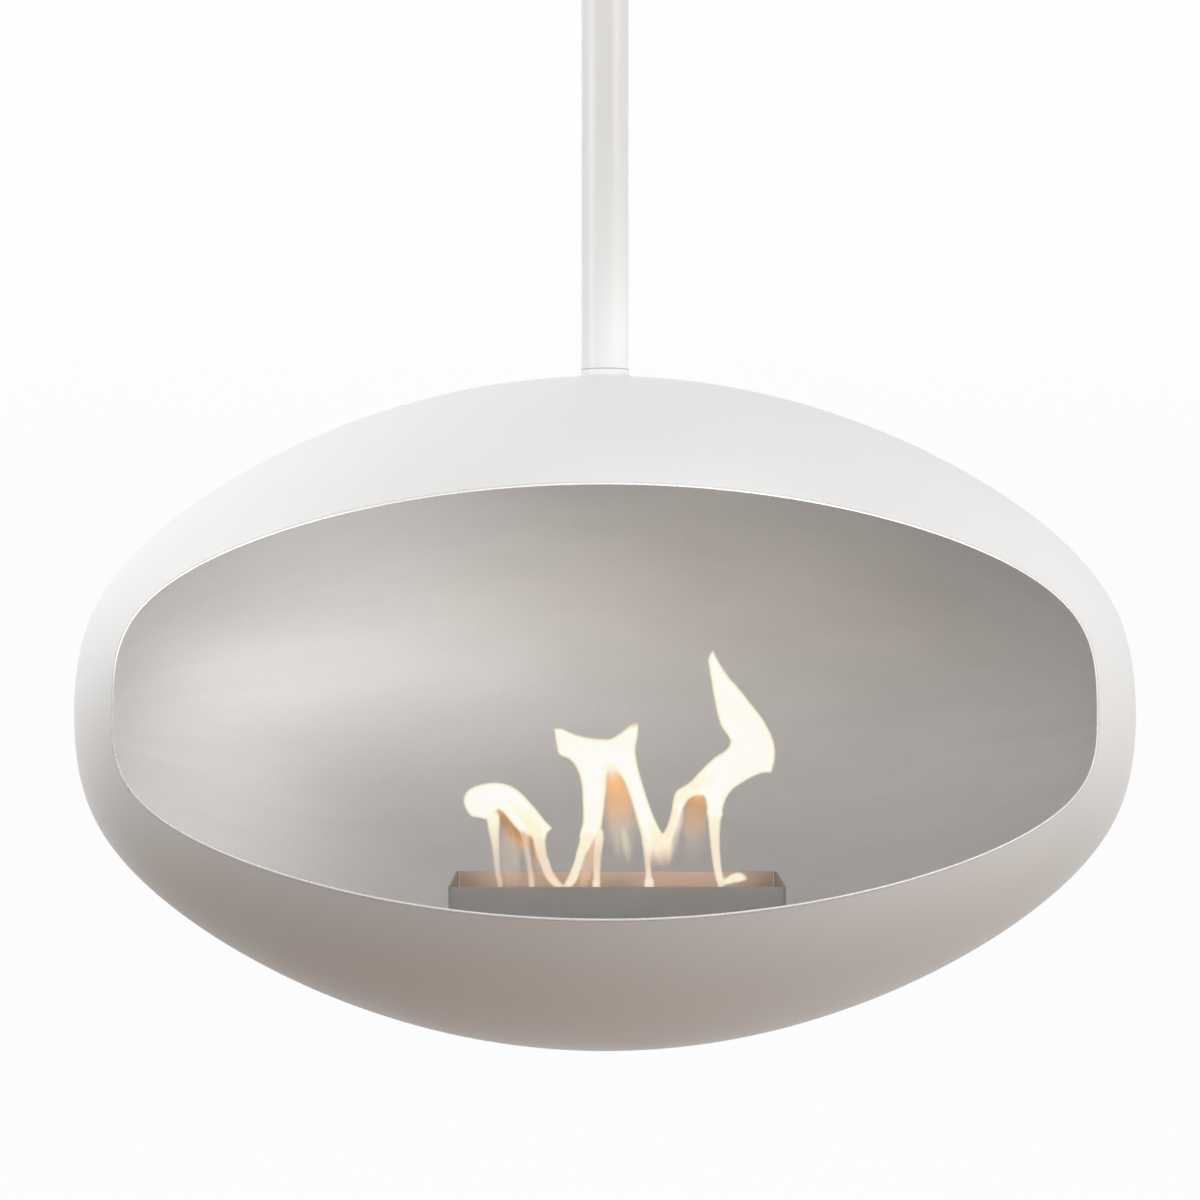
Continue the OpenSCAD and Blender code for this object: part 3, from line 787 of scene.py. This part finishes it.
def makeBead(b):
    # A rounded square section carried round the mouth between the bead's four edge lines
    turn = evenTurns(b["rings"])
    proud = mouth["beadProud"]
    corners = {
        (grow, inset): rimPoints(turn, grow * mouth["beadWidth"], (-proud, wallAll + proud)[inset])
        for grow in (0, 1) for inset in (0, 1)
    }
    angle = 2 * math.pi * np.arange(b["steps"]) / b["steps"]
    across = squared(np.cos(angle), b["squareness"])[None, :, None]
    through = squared(np.sin(angle), b["squareness"])[None, :, None]
    grid = sum(
        corners[g, i][:, None, :] * (across if g else 1 - across) * (through if i else 1 - through)
        for g in (0, 1) for i in (0, 1)
    )
    points = grid.reshape(-1, 3) + np.array([0, 0, podZ])
    faces = tubeQuads(b["rings"], b["steps"]).tolist()
    return newPiece("rimBead", points, faces, materials["rim_steel"], "hearth", ("rim_bead",))


shell = makeSkin("outerShell", "outer_shell", 0, pod["shellWall"], skin)
makeSkin("innerLiner", "inner_liner", pod["shellWall"] + pod["skinGap"], pod["linerWall"], skin)
makeBead(bead)

# Painted shadow: a thin dark grey ring that stands for the shadow gap where the pole enters the collar
shadowRing = {
    "high": 0.001,
    "proud": 0.0004,
    "turns": 96,
    "steps": 10,
    "color": (0.55, 0.55, 0.54),
    "darkest": 0.8,        # share of that colour where it is darkest
    "grain": 900,
    "roughness": 0.8,
}


def makeShadowRing(s):
    # A painted shadow line where the pole enters the collar: a dark grey ring of oval section carried round
    # the pole, r = pole radius + proud cos(t), z = pole's foot + high sin(t) / 2
    material, tree, shader, place = startMaterial("shadowRingPaint")
    texture = useGroup(tree, speckle, place, Scale=s["grain"])
    dark = tuple(s["darkest"] * value for value in s["color"])
    link(tree, tint(tree, texture.outputs["Haze"], dark, s["color"]), shader.inputs["Base Color"])
    shader.inputs["Roughness"].default_value = s["roughness"]
    low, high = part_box("pole")
    section = 2 * math.pi * np.arange(s["steps"]) / s["steps"]
    turn = 2 * math.pi * np.arange(s["turns"])[:, None] / s["turns"]
    radius = (high.x - low.x) / 2 + s["proud"] * np.cos(section)
    rise = low.z + s["high"] * np.sin(section) / 2
    rounds = np.broadcast_arrays(radius * np.cos(turn), radius * np.sin(turn), rise)
    points = np.stack(rounds, -1) + np.array([(high.x + low.x) / 2, (high.y + low.y) / 2, 0])
    faces = tubeQuads(s["turns"], s["steps"]).tolist()
    return newPiece("collarShadowRing", points.reshape(-1, 3), faces, material, "hearth")


makeShadowRing(shadowRing)

# The upper spot is meant for the liner and is kept off the shell, because its edge would make the
# crown over the mouth too bright
unlit = bpy.data.collections.new("unlit")
unlit.objects.link(shell)
unlit.collection_objects[0].light_linking.link_state = "EXCLUDE"
bpy.data.objects["upperSpot"].light_linking.receiver_collection = unlit
print("pod skins ready")


# Flames: thin closed sheets whose outline, thickness and heat come from drawn outlines and soft strokes

fire = {
    "spans": 6,             # steps between two points of a path
    "cell": 1.0,            # mm, of the sheet's grid
    "blend": 1.2,           # mm over which limbs melt into their body
    "softEdge": 1.5,        # mm, half the width of the bright part's soft edge
    "veilEdge": 0.6,        # width of a veil's or a tint's soft edge, as a share of its half width
    "edgeCooling": 0.2,     # heat that the bright part loses at its edge
    "coolDepth": 3.5,       # mm over which it loses it
    "coolFrom": 0.6,        # heat below which nothing is lost
    "thickness": 2.2,       # mm, half of it at 1 mm inside the edge. It grows as the root of that depth
    "thickest": 10,         # mm, half of the most
    "sway": 3.0,            # mm to front and back
    "swayLength": 70,       # mm of height for one sway
    "swayFrom": 60,         # mm of height over which the sway grows
    "thinnest": 0.3,        # mm, half of the least width of a stroke
    "bodyLook": (1, 0.99),  # heat and cover of a body
    "mostCover": 0.995,
    "leastSlope": 0.5,      # of the depth, squared, where a corner is moved by it
}
farOutside = -1000          # mm of depth

# A point is x from the slot's middle and z from the deck's top, in mm. A body is a closed outline whose
# smooth edges meet in corners. Limbs, tints and veils are strokes, whose points have a half width in mm, a
# heat and a cover too. Heat runs from 0, dull brown, through orange and cream to 1, white. Limbs grow out
# of the body, tints change its heat and veils hang behind it. The lean is to the back, per mm of height
leftFlame = {
    "lean": 0.03,
    "body": [
        [(-66, 82.5), (-71, 78), (-73.5, 72.5), (-80.5, 72), (-87.5, 75), (-95.5, 78), (-102.5, 84),
         (-109.5, 92.5), (-116, 100), (-121, 102), (-127, 94.5), (-133, 92), (-140, 93.5), (-147, 95),
         (-152, 100.5), (-155, 107.5), (-155, 114.5), (-151.5, 120.5), (-144.5, 125), (-134, 128),
         (-123.5, 129), (-113, 127.5), (-103.5, 123), (-95.5, 116.5), (-88.5, 109), (-81.5, 100.5),
         (-74, 91), (-66, 82.5)],
    ],
    "limbs": [
        [(-125.5, 93.5, 6, 0.95, 0.97), (-125.5, 87.5, 6, 0.9, 0.95), (-124.5, 76, 4.8, 0.72, 0.88),
         (-123, 64.5, 3.6, 0.66, 0.78), (-122, 50.5, 3, 0.6, 0.66), (-120.5, 36.5, 2.8, 0.57, 0.58),
         (-118.5, 23.5, 2.6, 0.57, 0.55), (-118, -11, 2, 0.55, 0.3)],
        [(-94.5, 78.5, 3, 0.42, 0.8), (-93, 72, 3, 0.44, 0.74), (-91.5, 62, 2.8, 0.54, 0.62),
         (-89.5, 50.5, 2.5, 0.58, 0.58), (-87.5, 36.5, 2.5, 0.6, 0.6), (-86.5, 23.5, 2.7, 0.62, 0.62),
         (-85.5, -11, 2, 0.6, 0.3)],
        [(-78.5, 77, 5, 0.85, 0.95), (-79, 72.5, 5.8, 0.72, 0.93), (-78, 64.5, 5.6, 0.62, 0.9),
         (-76, 55, 4.9, 0.6, 0.88), (-72.5, 46, 4.6, 0.62, 0.87), (-69, 36.5, 4.4, 0.62, 0.87),
         (-63.5, 29, 4, 0.66, 0.87), (-58, 25, 2.4, 0.7, 0.8), (-52.5, 24, 1, 0.7, 0.5)],
    ],
    "tints": [
        [(-112, 111, 5, 0.9, 0.3), (-103.5, 105, 7, 0.84, 0.6), (-95.5, 97, 8, 0.82, 0.75),
         (-86.5, 87.5, 8, 0.8, 0.75), (-79.5, 79.5, 6, 0.74, 0.8)],
        [(-90, 79.5, 3, 0.5, 0.6), (-85, 76, 3, 0.55, 0.6)],
    ],
    "veils": [
        [(-118.5, 101, 5, 0.25, 0.9), (-114, 93.5, 8.5, 0.04, 0.88), (-108, 85, 10.5, 0.02, 0.85),
         (-101, 76, 9, 0.06, 0.8), (-98, 66.5, 5.5, 0.2, 0.5), (-96.5, 57.5, 2.5, 0.3, 0.08)],
        [(-86.5, 72.5, 4, 0.12, 0.8), (-85.5, 65.5, 4.6, 0.05, 0.72), (-83.5, 56.5, 4.2, 0.1, 0.6),
         (-80.5, 44.5, 3, 0.3, 0.35), (-77, 34, 2, 0.4, 0.1)],
        [(-110.5, 80.5, 8, 0.3, 0.3), (-109.5, 66.5, 12, 0.5, 0.28), (-108, 48, 13, 0.55, 0.2),
         (-106.5, 27, 10, 0.55, 0.12)],
    ],
}
centreFlame = {
    "lean": -0.02,
    "body": [
        [(-63.5, 184.5), (-56, 184), (-48, 180.5), (-38.5, 177), (-28, 174.5), (-16.5, 173.5),
         (-7.5, 173.5), (0, 177), (7, 182), (13, 187), (20.5, 191)],
        [(20.5, 191), (21.5, 184.5), (20.5, 175), (18.5, 164.5), (19.5, 153), (22.5, 139), (27, 124.5),
         (31.5, 110.5), (36, 97.5), (41, 86.5), (45.5, 78)],
        [(45.5, 78), (42.5, 69), (36, 65.5), (30.5, 65.5), (27, 69.5), (24, 79), (20.5, 92), (16.5, 106),
         (12, 120), (7.5, 131), (2, 139.5), (-6, 144), (-10, 138.5), (-11, 125), (-12.5, 111), (-14, 97),
         (-16.5, 83), (-23, 74), (-31, 72), (-37, 74), (-34.5, 87.5), (-34, 97), (-34.5, 111), (-35, 125),
         (-38, 138.5), (-43, 148), (-49, 154), (-58.5, 158.5), (-60.5, 165), (-62, 174), (-63.5, 184.5)],
    ],
    "limbs": [
        [(-29, 77, 6.5, 0.95, 0.97), (-32, 68, 5.8, 0.85, 0.95), (-35, 61, 5, 0.8, 0.95),
         (-38, 51.5, 4.4, 0.76, 0.93), (-41.5, 41, 4.4, 0.74, 0.92), (-45, 32, 4.6, 0.74, 0.9),
         (-49, 26.5, 3.6, 0.76, 0.87), (-52.5, 24, 1.4, 0.76, 0.6)],
        [(-17, 79, 3, 0.9, 0.93), (-17.5, 73.5, 4, 0.72, 0.9), (-19, 63, 4, 0.64, 0.85),
         (-20, 53, 3.7, 0.6, 0.83), (-20.5, 41, 3.5, 0.6, 0.83), (-20.5, 30.5, 3.1, 0.64, 0.85),
         (-21, 25, 3.8, 0.68, 0.85), (-21, -11, 2.2, 0.6, 0.3)],
        [(31.5, 69, 5.4, 0.85, 0.93), (31, 61.5, 4, 0.72, 0.86), (31, 53, 3, 0.63, 0.8),
         (32, 41, 2.8, 0.63, 0.8), (32.5, 32, 3.1, 0.67, 0.84), (33, 25, 4.8, 0.7, 0.87),
         (33, -11, 2.6, 0.6, 0.3)],
    ],
    "tints": [
        [(-12.5, 144.5, 2.5, 0.84, 0.6), (-6.5, 146.5, 4, 0.8, 0.85), (0.5, 143.5, 3, 0.82, 0.7)],
        [(-11, 136.5, 1.6, 0.72, 0.7), (-12, 120.5, 2, 0.66, 0.7), (-13, 104, 2.2, 0.66, 0.7),
         (-15, 90, 3, 0.68, 0.7), (-18.5, 76, 4, 0.68, 0.6)],
        [(4.5, 136.5, 1.6, 0.74, 0.7), (10, 127.5, 2, 0.66, 0.75), (14.5, 113.5, 2.4, 0.6, 0.75),
         (18, 99.5, 2.8, 0.6, 0.75), (22.5, 85.5, 3.4, 0.62, 0.75), (27, 72.5, 4.5, 0.66, 0.7)],
        [(21.5, 192, 3.5, 0.32, 0.95), (17, 188.5, 3.8, 0.42, 0.9), (12, 184.5, 3, 0.7, 0.6)],
        [(35, 87.5, 3, 0.8, 0.4), (39.5, 76, 6, 0.68, 0.8), (39.5, 66.5, 6, 0.6, 0.9)],
        [(-35.5, 73.5, 2, 0.8, 0.5), (-27, 75, 5, 0.72, 0.6)],
    ],
    "veils": [
        [(-5.5, 144, 6, 0.8, 0.97), (-4, 138, 11, 0.56, 0.97), (-2.5, 131, 14.5, 0.4, 0.96),
         (-0.5, 123, 17.5, 0.33, 0.92), (1.5, 114.5, 19.5, 0.3, 0.84), (3, 105, 20.5, 0.34, 0.7),
         (4, 95, 21, 0.44, 0.52), (5.5, 84, 20.5, 0.52, 0.36), (6.5, 72.5, 18, 0.55, 0.22),
         (7.5, 59.5, 14, 0.58, 0.1), (8.5, 48, 8, 0.6, 0.02)],
        [(6, 87.5, 1.6, 0.8, 0.05), (7.5, 77, 4.2, 0.75, 0.3), (10, 65.5, 5.4, 0.72, 0.34),
         (11.5, 55, 4, 0.7, 0.22), (13, 46, 1.5, 0.7, 0.02)],
        [(1, 87.5, 2, 0.6, 0.02), (0.5, 76, 4, 0.6, 0.16), (0, 62, 3.5, 0.6, 0.12),
         (-0.5, 50.5, 2, 0.6, 0.02)],
        [(-21, 78.5, 6, 0.5, 0.7), (-24.5, 64.5, 7, 0.44, 0.66), (-28, 50.5, 7.5, 0.46, 0.55),
         (-31.5, 36.5, 7.5, 0.48, 0.42), (-35, 25, 6, 0.48, 0.2)],
        [(36, 63, 9, 0.62, 0.85), (38.5, 55, 8, 0.56, 0.5), (41, 44.5, 5, 0.5, 0.05)],
        [(42, 72.5, 6.5, 0.8, 0.97), (44.5, 67, 11.5, 0.72, 0.97), (46, 63, 12.5, 0.64, 0.88),
         (47.5, 56.5, 11, 0.58, 0.6), (49, 50, 8, 0.55, 0.25), (51, 44.5, 5, 0.5, 0.03)],
    ],
}
rightFlame = {
    "lean": 0.05,
    "body": [
        [(98, 263), (101, 256.5), (107, 246), (114.5, 235), (124.5, 224), (135, 210.5), (146, 196.5),
         (154.5, 182), (159.5, 170), (161, 159.5), (160, 149.5), (157, 139.5)],
        [(157, 139.5), (148, 139), (137.5, 135), (127, 129), (117, 122), (111, 113.5), (107.5, 103),
         (106.5, 94.5), (99.5, 92), (93, 96), (91.5, 107), (89, 115), (82.5, 117), (76.5, 115), (71, 110.5),
         (66.5, 101), (63, 89.5), (59, 78), (55, 69), (50, 67), (44, 76.5)],
        [(44, 76.5), (49, 79.5), (53.5, 90), (56, 101), (58, 113), (61, 120.5), (68, 125), (75, 129.5),
         (82, 137), (89, 144), (100, 154), (109.5, 160), (114.5, 165.5), (116, 171.5), (112.5, 178),
         (107, 186), (103.5, 195.5), (101.5, 204.5), (99, 218.5), (96.5, 234.5), (94.5, 246), (93.5, 253),
         (95, 259), (98, 263)],
    ],
    "limbs": [
        [(99.5, 97, 6.4, 0.97, 0.97), (99.5, 87.5, 5.8, 0.85, 0.95), (99.5, 76, 4.9, 0.76, 0.93),
         (100, 64.5, 4.4, 0.72, 0.92), (101, 53, 4, 0.72, 0.92), (102.5, 41, 3.7, 0.72, 0.92),
         (104.5, 32, 3.6, 0.76, 0.92), (105.5, 26.5, 2.8, 0.76, 0.8), (105.5, -11, 2, 0.6, 0.3)],
        [(106, 27.5, 2.2, 0.8, 0.85), (112, 29, 3, 0.85, 0.9), (118.5, 32, 4.2, 0.88, 0.92),
         (124, 33, 4.5, 0.88, 0.92), (128.5, 32.5, 2.8, 0.85, 0.85), (132, 31.5, 0.7, 0.8, 0.5)],
    ],
    "tints": [
        [(60.5, 111, 6, 0.74, 0.8), (67.5, 115.5, 8, 0.8, 0.75), (79, 125, 9, 0.84, 0.7),
         (91, 132, 9, 0.86, 0.6), (103.5, 139, 8, 0.9, 0.4)],
        [(58.5, 101.5, 5, 0.68, 0.9), (55.5, 87.5, 5.5, 0.66, 0.9), (51.5, 76, 7, 0.66, 0.9)],
        [(76.5, 114, 2.2, 0.5, 0.6), (82.5, 115.5, 2.4, 0.45, 0.7), (89, 113.5, 2.4, 0.5, 0.6),
         (91.5, 101.5, 2.4, 0.66, 0.6)],
        [(123.5, 125, 2, 0.72, 0.5), (137.5, 133.5, 2, 0.7, 0.6), (154, 138, 2, 0.66, 0.7)],
    ],
    "veils": [
        [(82.5, 116, 8, 0.4, 0.97), (82, 111, 12, 0.2, 0.94), (81, 104, 14.5, 0.14, 0.84),
         (79.5, 96, 15.5, 0.2, 0.64), (79, 86.5, 15, 0.36, 0.42), (78, 76, 14, 0.5, 0.24),
         (77.5, 64.5, 12, 0.56, 0.1), (77, 54, 9, 0.6, 0.03)],
        [(65.5, 99.5, 4, 0.55, 0.5), (63, 87.5, 5.5, 0.58, 0.6), (59, 76, 6, 0.6, 0.55),
         (56.5, 63, 6, 0.6, 0.35), (54, 51.5, 5, 0.58, 0.04)],
        [(48.5, 72.5, 4, 0.8, 0.95), (50.5, 68, 7.5, 0.72, 0.95), (51, 64.5, 7.5, 0.64, 0.75),
         (51, 56.5, 6, 0.58, 0.3), (51, 48, 4, 0.55, 0.03)],
    ],
}


def smoothPath(points, spans):
    # Catmull-Rom curve: between two points, a cubic whose slope at each is half the step across it
    points = np.asarray(points, float)
    padded = np.concatenate([2 * points[:1] - points[1:2], points, 2 * points[-1:] - points[-2:-1]])
    before, start, end, after = (padded[i:len(padded) - 3 + i, None] for i in range(4))
    t = (np.arange(spans) / spans)[None, :, None]
    curve = 0.5 * (
        2 * start + (end - before) * t + (2 * before - 5 * start + 4 * end - after) * t ** 2
        + (3 * start - before - 3 * end + after) * t ** 3
    )
    return np.concatenate([curve.reshape(-1, points.shape[1]), points[-1:]])


def softStep(value):
    value = np.clip(value, 0, 1)
    return value * value * (3 - 2 * value)


def strokeField(points, f, x, z):
    # At each place: how deep it lies inside the stroke, in mm, and the half width, heat and cover of the
    # stroke there. The depth is the largest of half width less distance over the points of the path
    path = smoothPath(points, f["spans"])
    away = np.hypot(x[:, None] - path[:, 0], z[:, None] - path[:, 1])
    depth = np.maximum(path[:, 2], f["thinnest"]) - away
    deepest = depth.argmax(1)
    return np.stack([depth[np.arange(len(x)), deepest], *path[deepest, 2:5].T])


def bodyDepth(edges, f, x, z):
    # How deep each place lies inside a closed outline, in mm, and below 0 outside: the distance to the
    # nearest segment, with its sign from how many segments a line from the place to the right crosses
    line = np.concatenate([smoothPath(edge, f["spans"])[:-1] for edge in edges])
    along = np.roll(line, -1, axis=0) - line
    fromX = x[:, None] - line[:, 0]
    fromZ = z[:, None] - line[:, 1]
    share = np.clip((fromX * along[:, 0] + fromZ * along[:, 1]) / (along ** 2).sum(1), 0, 1)
    distance = np.hypot(fromX - share * along[:, 0], fromZ - share * along[:, 1]).min(1)
    crossed = (fromZ < 0) != (fromZ < along[:, 1])
    rise = np.where(along[:, 1] == 0, 1, along[:, 1])
    inside = (crossed & (fromX < along[:, 0] * fromZ / rise)).sum(1) % 2 == 1
    return np.where(inside, distance, -distance)


def laidOver(strokes, f, x, z, heatSum, seen, spread):
    # Strokes laid one over another on what is there, each with a soft edge as wide as a share of itself
    for stroke in strokes:
        depth, half, heat, cover = strokeField(stroke, f, x, z)
        share = cover * softStep(depth / (half * f["veilEdge"]))
        heatSum = heatSum * (1 - share) + heat * share
        seen = seen * (1 - share) + share
        spread = np.maximum(spread, depth)
    return heatSum, seen, spread


def flameField(flame, f, x, z):
    # Body and limbs melt into one by a soft maximum, k log(sum of exp(depth / k)), and their heat and cover
    # are weighed by the same exponentials. The veils lie behind them
    none = np.zeros_like(x)
    heatSum, seen, region = laidOver(flame["veils"], f, x, z, none, none, none + farOutside)
    bodyHeat, bodyCover = f["bodyLook"]
    body = np.stack([bodyDepth(flame["body"], f, x, z), none, none + bodyHeat, none + bodyCover])
    fields = np.array([body] + [strokeField(limb, f, x, z) for limb in flame["limbs"]])
    most = fields[:, 0].max(0)
    weight = np.exp((fields[:, 0] - most) / f["blend"])
    total = weight.sum(0)
    depth = most + f["blend"] * np.log(total)
    heat = (weight * fields[:, 2]).sum(0) / total
    heat = laidOver(flame["tints"], f, x, z, heat, none, none)[0]
    hot = np.clip((heat - f["coolFrom"]) / (1 - f["coolFrom"]), 0, 1)
    heat = heat - f["edgeCooling"] * hot * (1 - softStep(depth / f["coolDepth"]))
    share = (weight * fields[:, 3]).sum(0) / total * softStep(0.5 + 0.5 * depth / f["softEdge"])
    heatSum = heatSum * (1 - share) + heat * share
    seen = np.clip(seen * (1 - share) + share, 0, f["mostCover"])
    return np.maximum(region, depth + f["softEdge"]), heatSum / np.maximum(seen, 1e-6), seen


def makeFlame(name, flame, f, middle, material):
    # Grid cells that touch the field are kept, corners outside it are moved on to its edge up the slope,
    # and the sheet's two walls stand apart by the root of the depth and meet at the edge
    strokes = np.array([point for stroke in (*flame["limbs"], *flame["veils"]) for point in stroke])
    drawn = np.array([point for edge in flame["body"] for point in edge])
    margin = 2 * f["softEdge"] + f["cell"]
    low = np.minimum((strokes[:, :2] - strokes[:, 2:3]).min(0), drawn.min(0)) - margin
    high = np.maximum((strokes[:, :2] + strokes[:, 2:3]).max(0), drawn.max(0)) + margin
    xs, zs = (np.arange(low[i], high[i] + f["cell"], f["cell"]) for i in (0, 1))
    x, z = (axis.ravel() for axis in np.meshgrid(xs, zs, indexing="ij"))
    region, heat, seen = flameField(flame, f, x, z)
    shape = (len(xs), len(zs))
    slopeX, slopeZ = (slope.ravel() for slope in np.gradient(region.reshape(shape), f["cell"]))
    outside = region <= 0
    step = np.where(outside, region, 0) / np.maximum(slopeX ** 2 + slopeZ ** 2, f["leastSlope"])
    x = x - np.clip(step * slopeX, -f["cell"], f["cell"])
    z = z - np.clip(step * slopeZ, -f["cell"], f["cell"])
    number = np.arange(len(x)).reshape(shape)
    cells = np.stack([number[:-1, :-1], number[1:, :-1], number[1:, 1:], number[:-1, 1:]], -1)
    cells = cells.reshape(-1, 4)
    cells = cells[~outside[cells].all(1)]
    half = np.minimum(f["thickness"] * np.sqrt(np.maximum(region, 0)), f["thickest"])
    sway = f["sway"] * np.sin(2 * math.pi * z / f["swayLength"]) * softStep(z / f["swayFrom"])
    centre = flame["lean"] * np.maximum(z, 0) + sway
    used, cells = np.unique(cells, return_inverse=True)
    cells = cells.reshape(-1, 4)
    inner = np.flatnonzero(~outside[used])
    back = np.arange(len(used))
    back[inner] = len(used) + np.arange(len(inner))
    flat = np.stack([x[used], centre[used], z[used]], -1)
    depth = np.zeros_like(flat)
    depth[:, 1] = half[used]
    points = np.concatenate([flat - depth, (flat + depth)[inner]]) / 1000 + middle
    faces = np.concatenate([cells, back[cells][:, ::-1]])
    piece = newPiece(name, points, faces.tolist(), material, "burner")
    # The two walls together hide 1 - (1 - a)^2, so each wall has the alpha 1 - sqrt(1 - cover)
    alpha = np.where(outside, 0, 1 - np.sqrt(1 - seen))
    for label, values in (("fireHeat", heat), ("fireCover", alpha)):
        attribute = piece.data.attributes.new(label, "FLOAT", "POINT")
        onBoth = np.concatenate([values[used], values[used][inner]])
        attribute.data.foreach_set("value", onBoth.astype(np.float32))
    return piece


# The colours are by heat
fireLook = {
    "colors": {
        0.0: (0.42, 0.26, 0.12),
        0.2: (0.74, 0.41, 0.20),
        0.38: (0.98, 0.54, 0.26),
        0.52: (0.93, 0.68, 0.50),
        0.64: (0.985, 0.84, 0.66),
        0.76: (0.985, 0.90, 0.70),
        0.84: (0.985, 0.93, 0.67),
        1.0: (0.985, 0.975, 0.92),
    },
    "flicker": {"Scale": 45, "Detail": 2},
    "flickerHeat": (-0.04, 0.04),
    "streaks": {"Stretch": (1, 1, 0.07), "Scale": 110},
    "streakPower": (0.8, 1.3),     # that the cover is raised to
}


def fireMaterial(s):
    # Heat picks the colour and flickers a little, and faint upright streaks thin and thicken the veils
    material, tree, shader, place = startMaterial("fire")
    heat = addNode(tree, "ShaderNodeAttribute", attribute_name="fireHeat")
    cover = addNode(tree, "ShaderNodeAttribute", attribute_name="fireCover")
    flicker = addNoise(tree, place, **s["flicker"])
    shift = between(tree, flicker.outputs["Fac"], *s["flickerHeat"])
    shifted = addMath(tree, "ADD", heat.outputs["Fac"], shift)
    link(tree, addRamp(tree, shifted, s["colors"]), shader.inputs["Emission Color"])
    streaks = useGroup(tree, brushedGrain, place, **s["streaks"])
    power = between(tree, streaks.outputs["Grain"], *s["streakPower"])
    link(tree, addMath(tree, "POWER", cover.outputs["Fac"], power), shader.inputs["Alpha"])
    setSockets(shader, {"Emission Strength": 1, "Base Color": (0, 0, 0, 1), "Specular IOR Level": 0})
    return material


flameMatter = fireMaterial(fireLook)
for name, flame in (("leftFlame", leftFlame), ("centreFlame", centreFlame), ("rightFlame", rightFlame)):
    piece = makeFlame(name, flame, fire, slotMiddle, flameMatter)
    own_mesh(piece)
    piece.visible_shadow = False
print("flames ready")
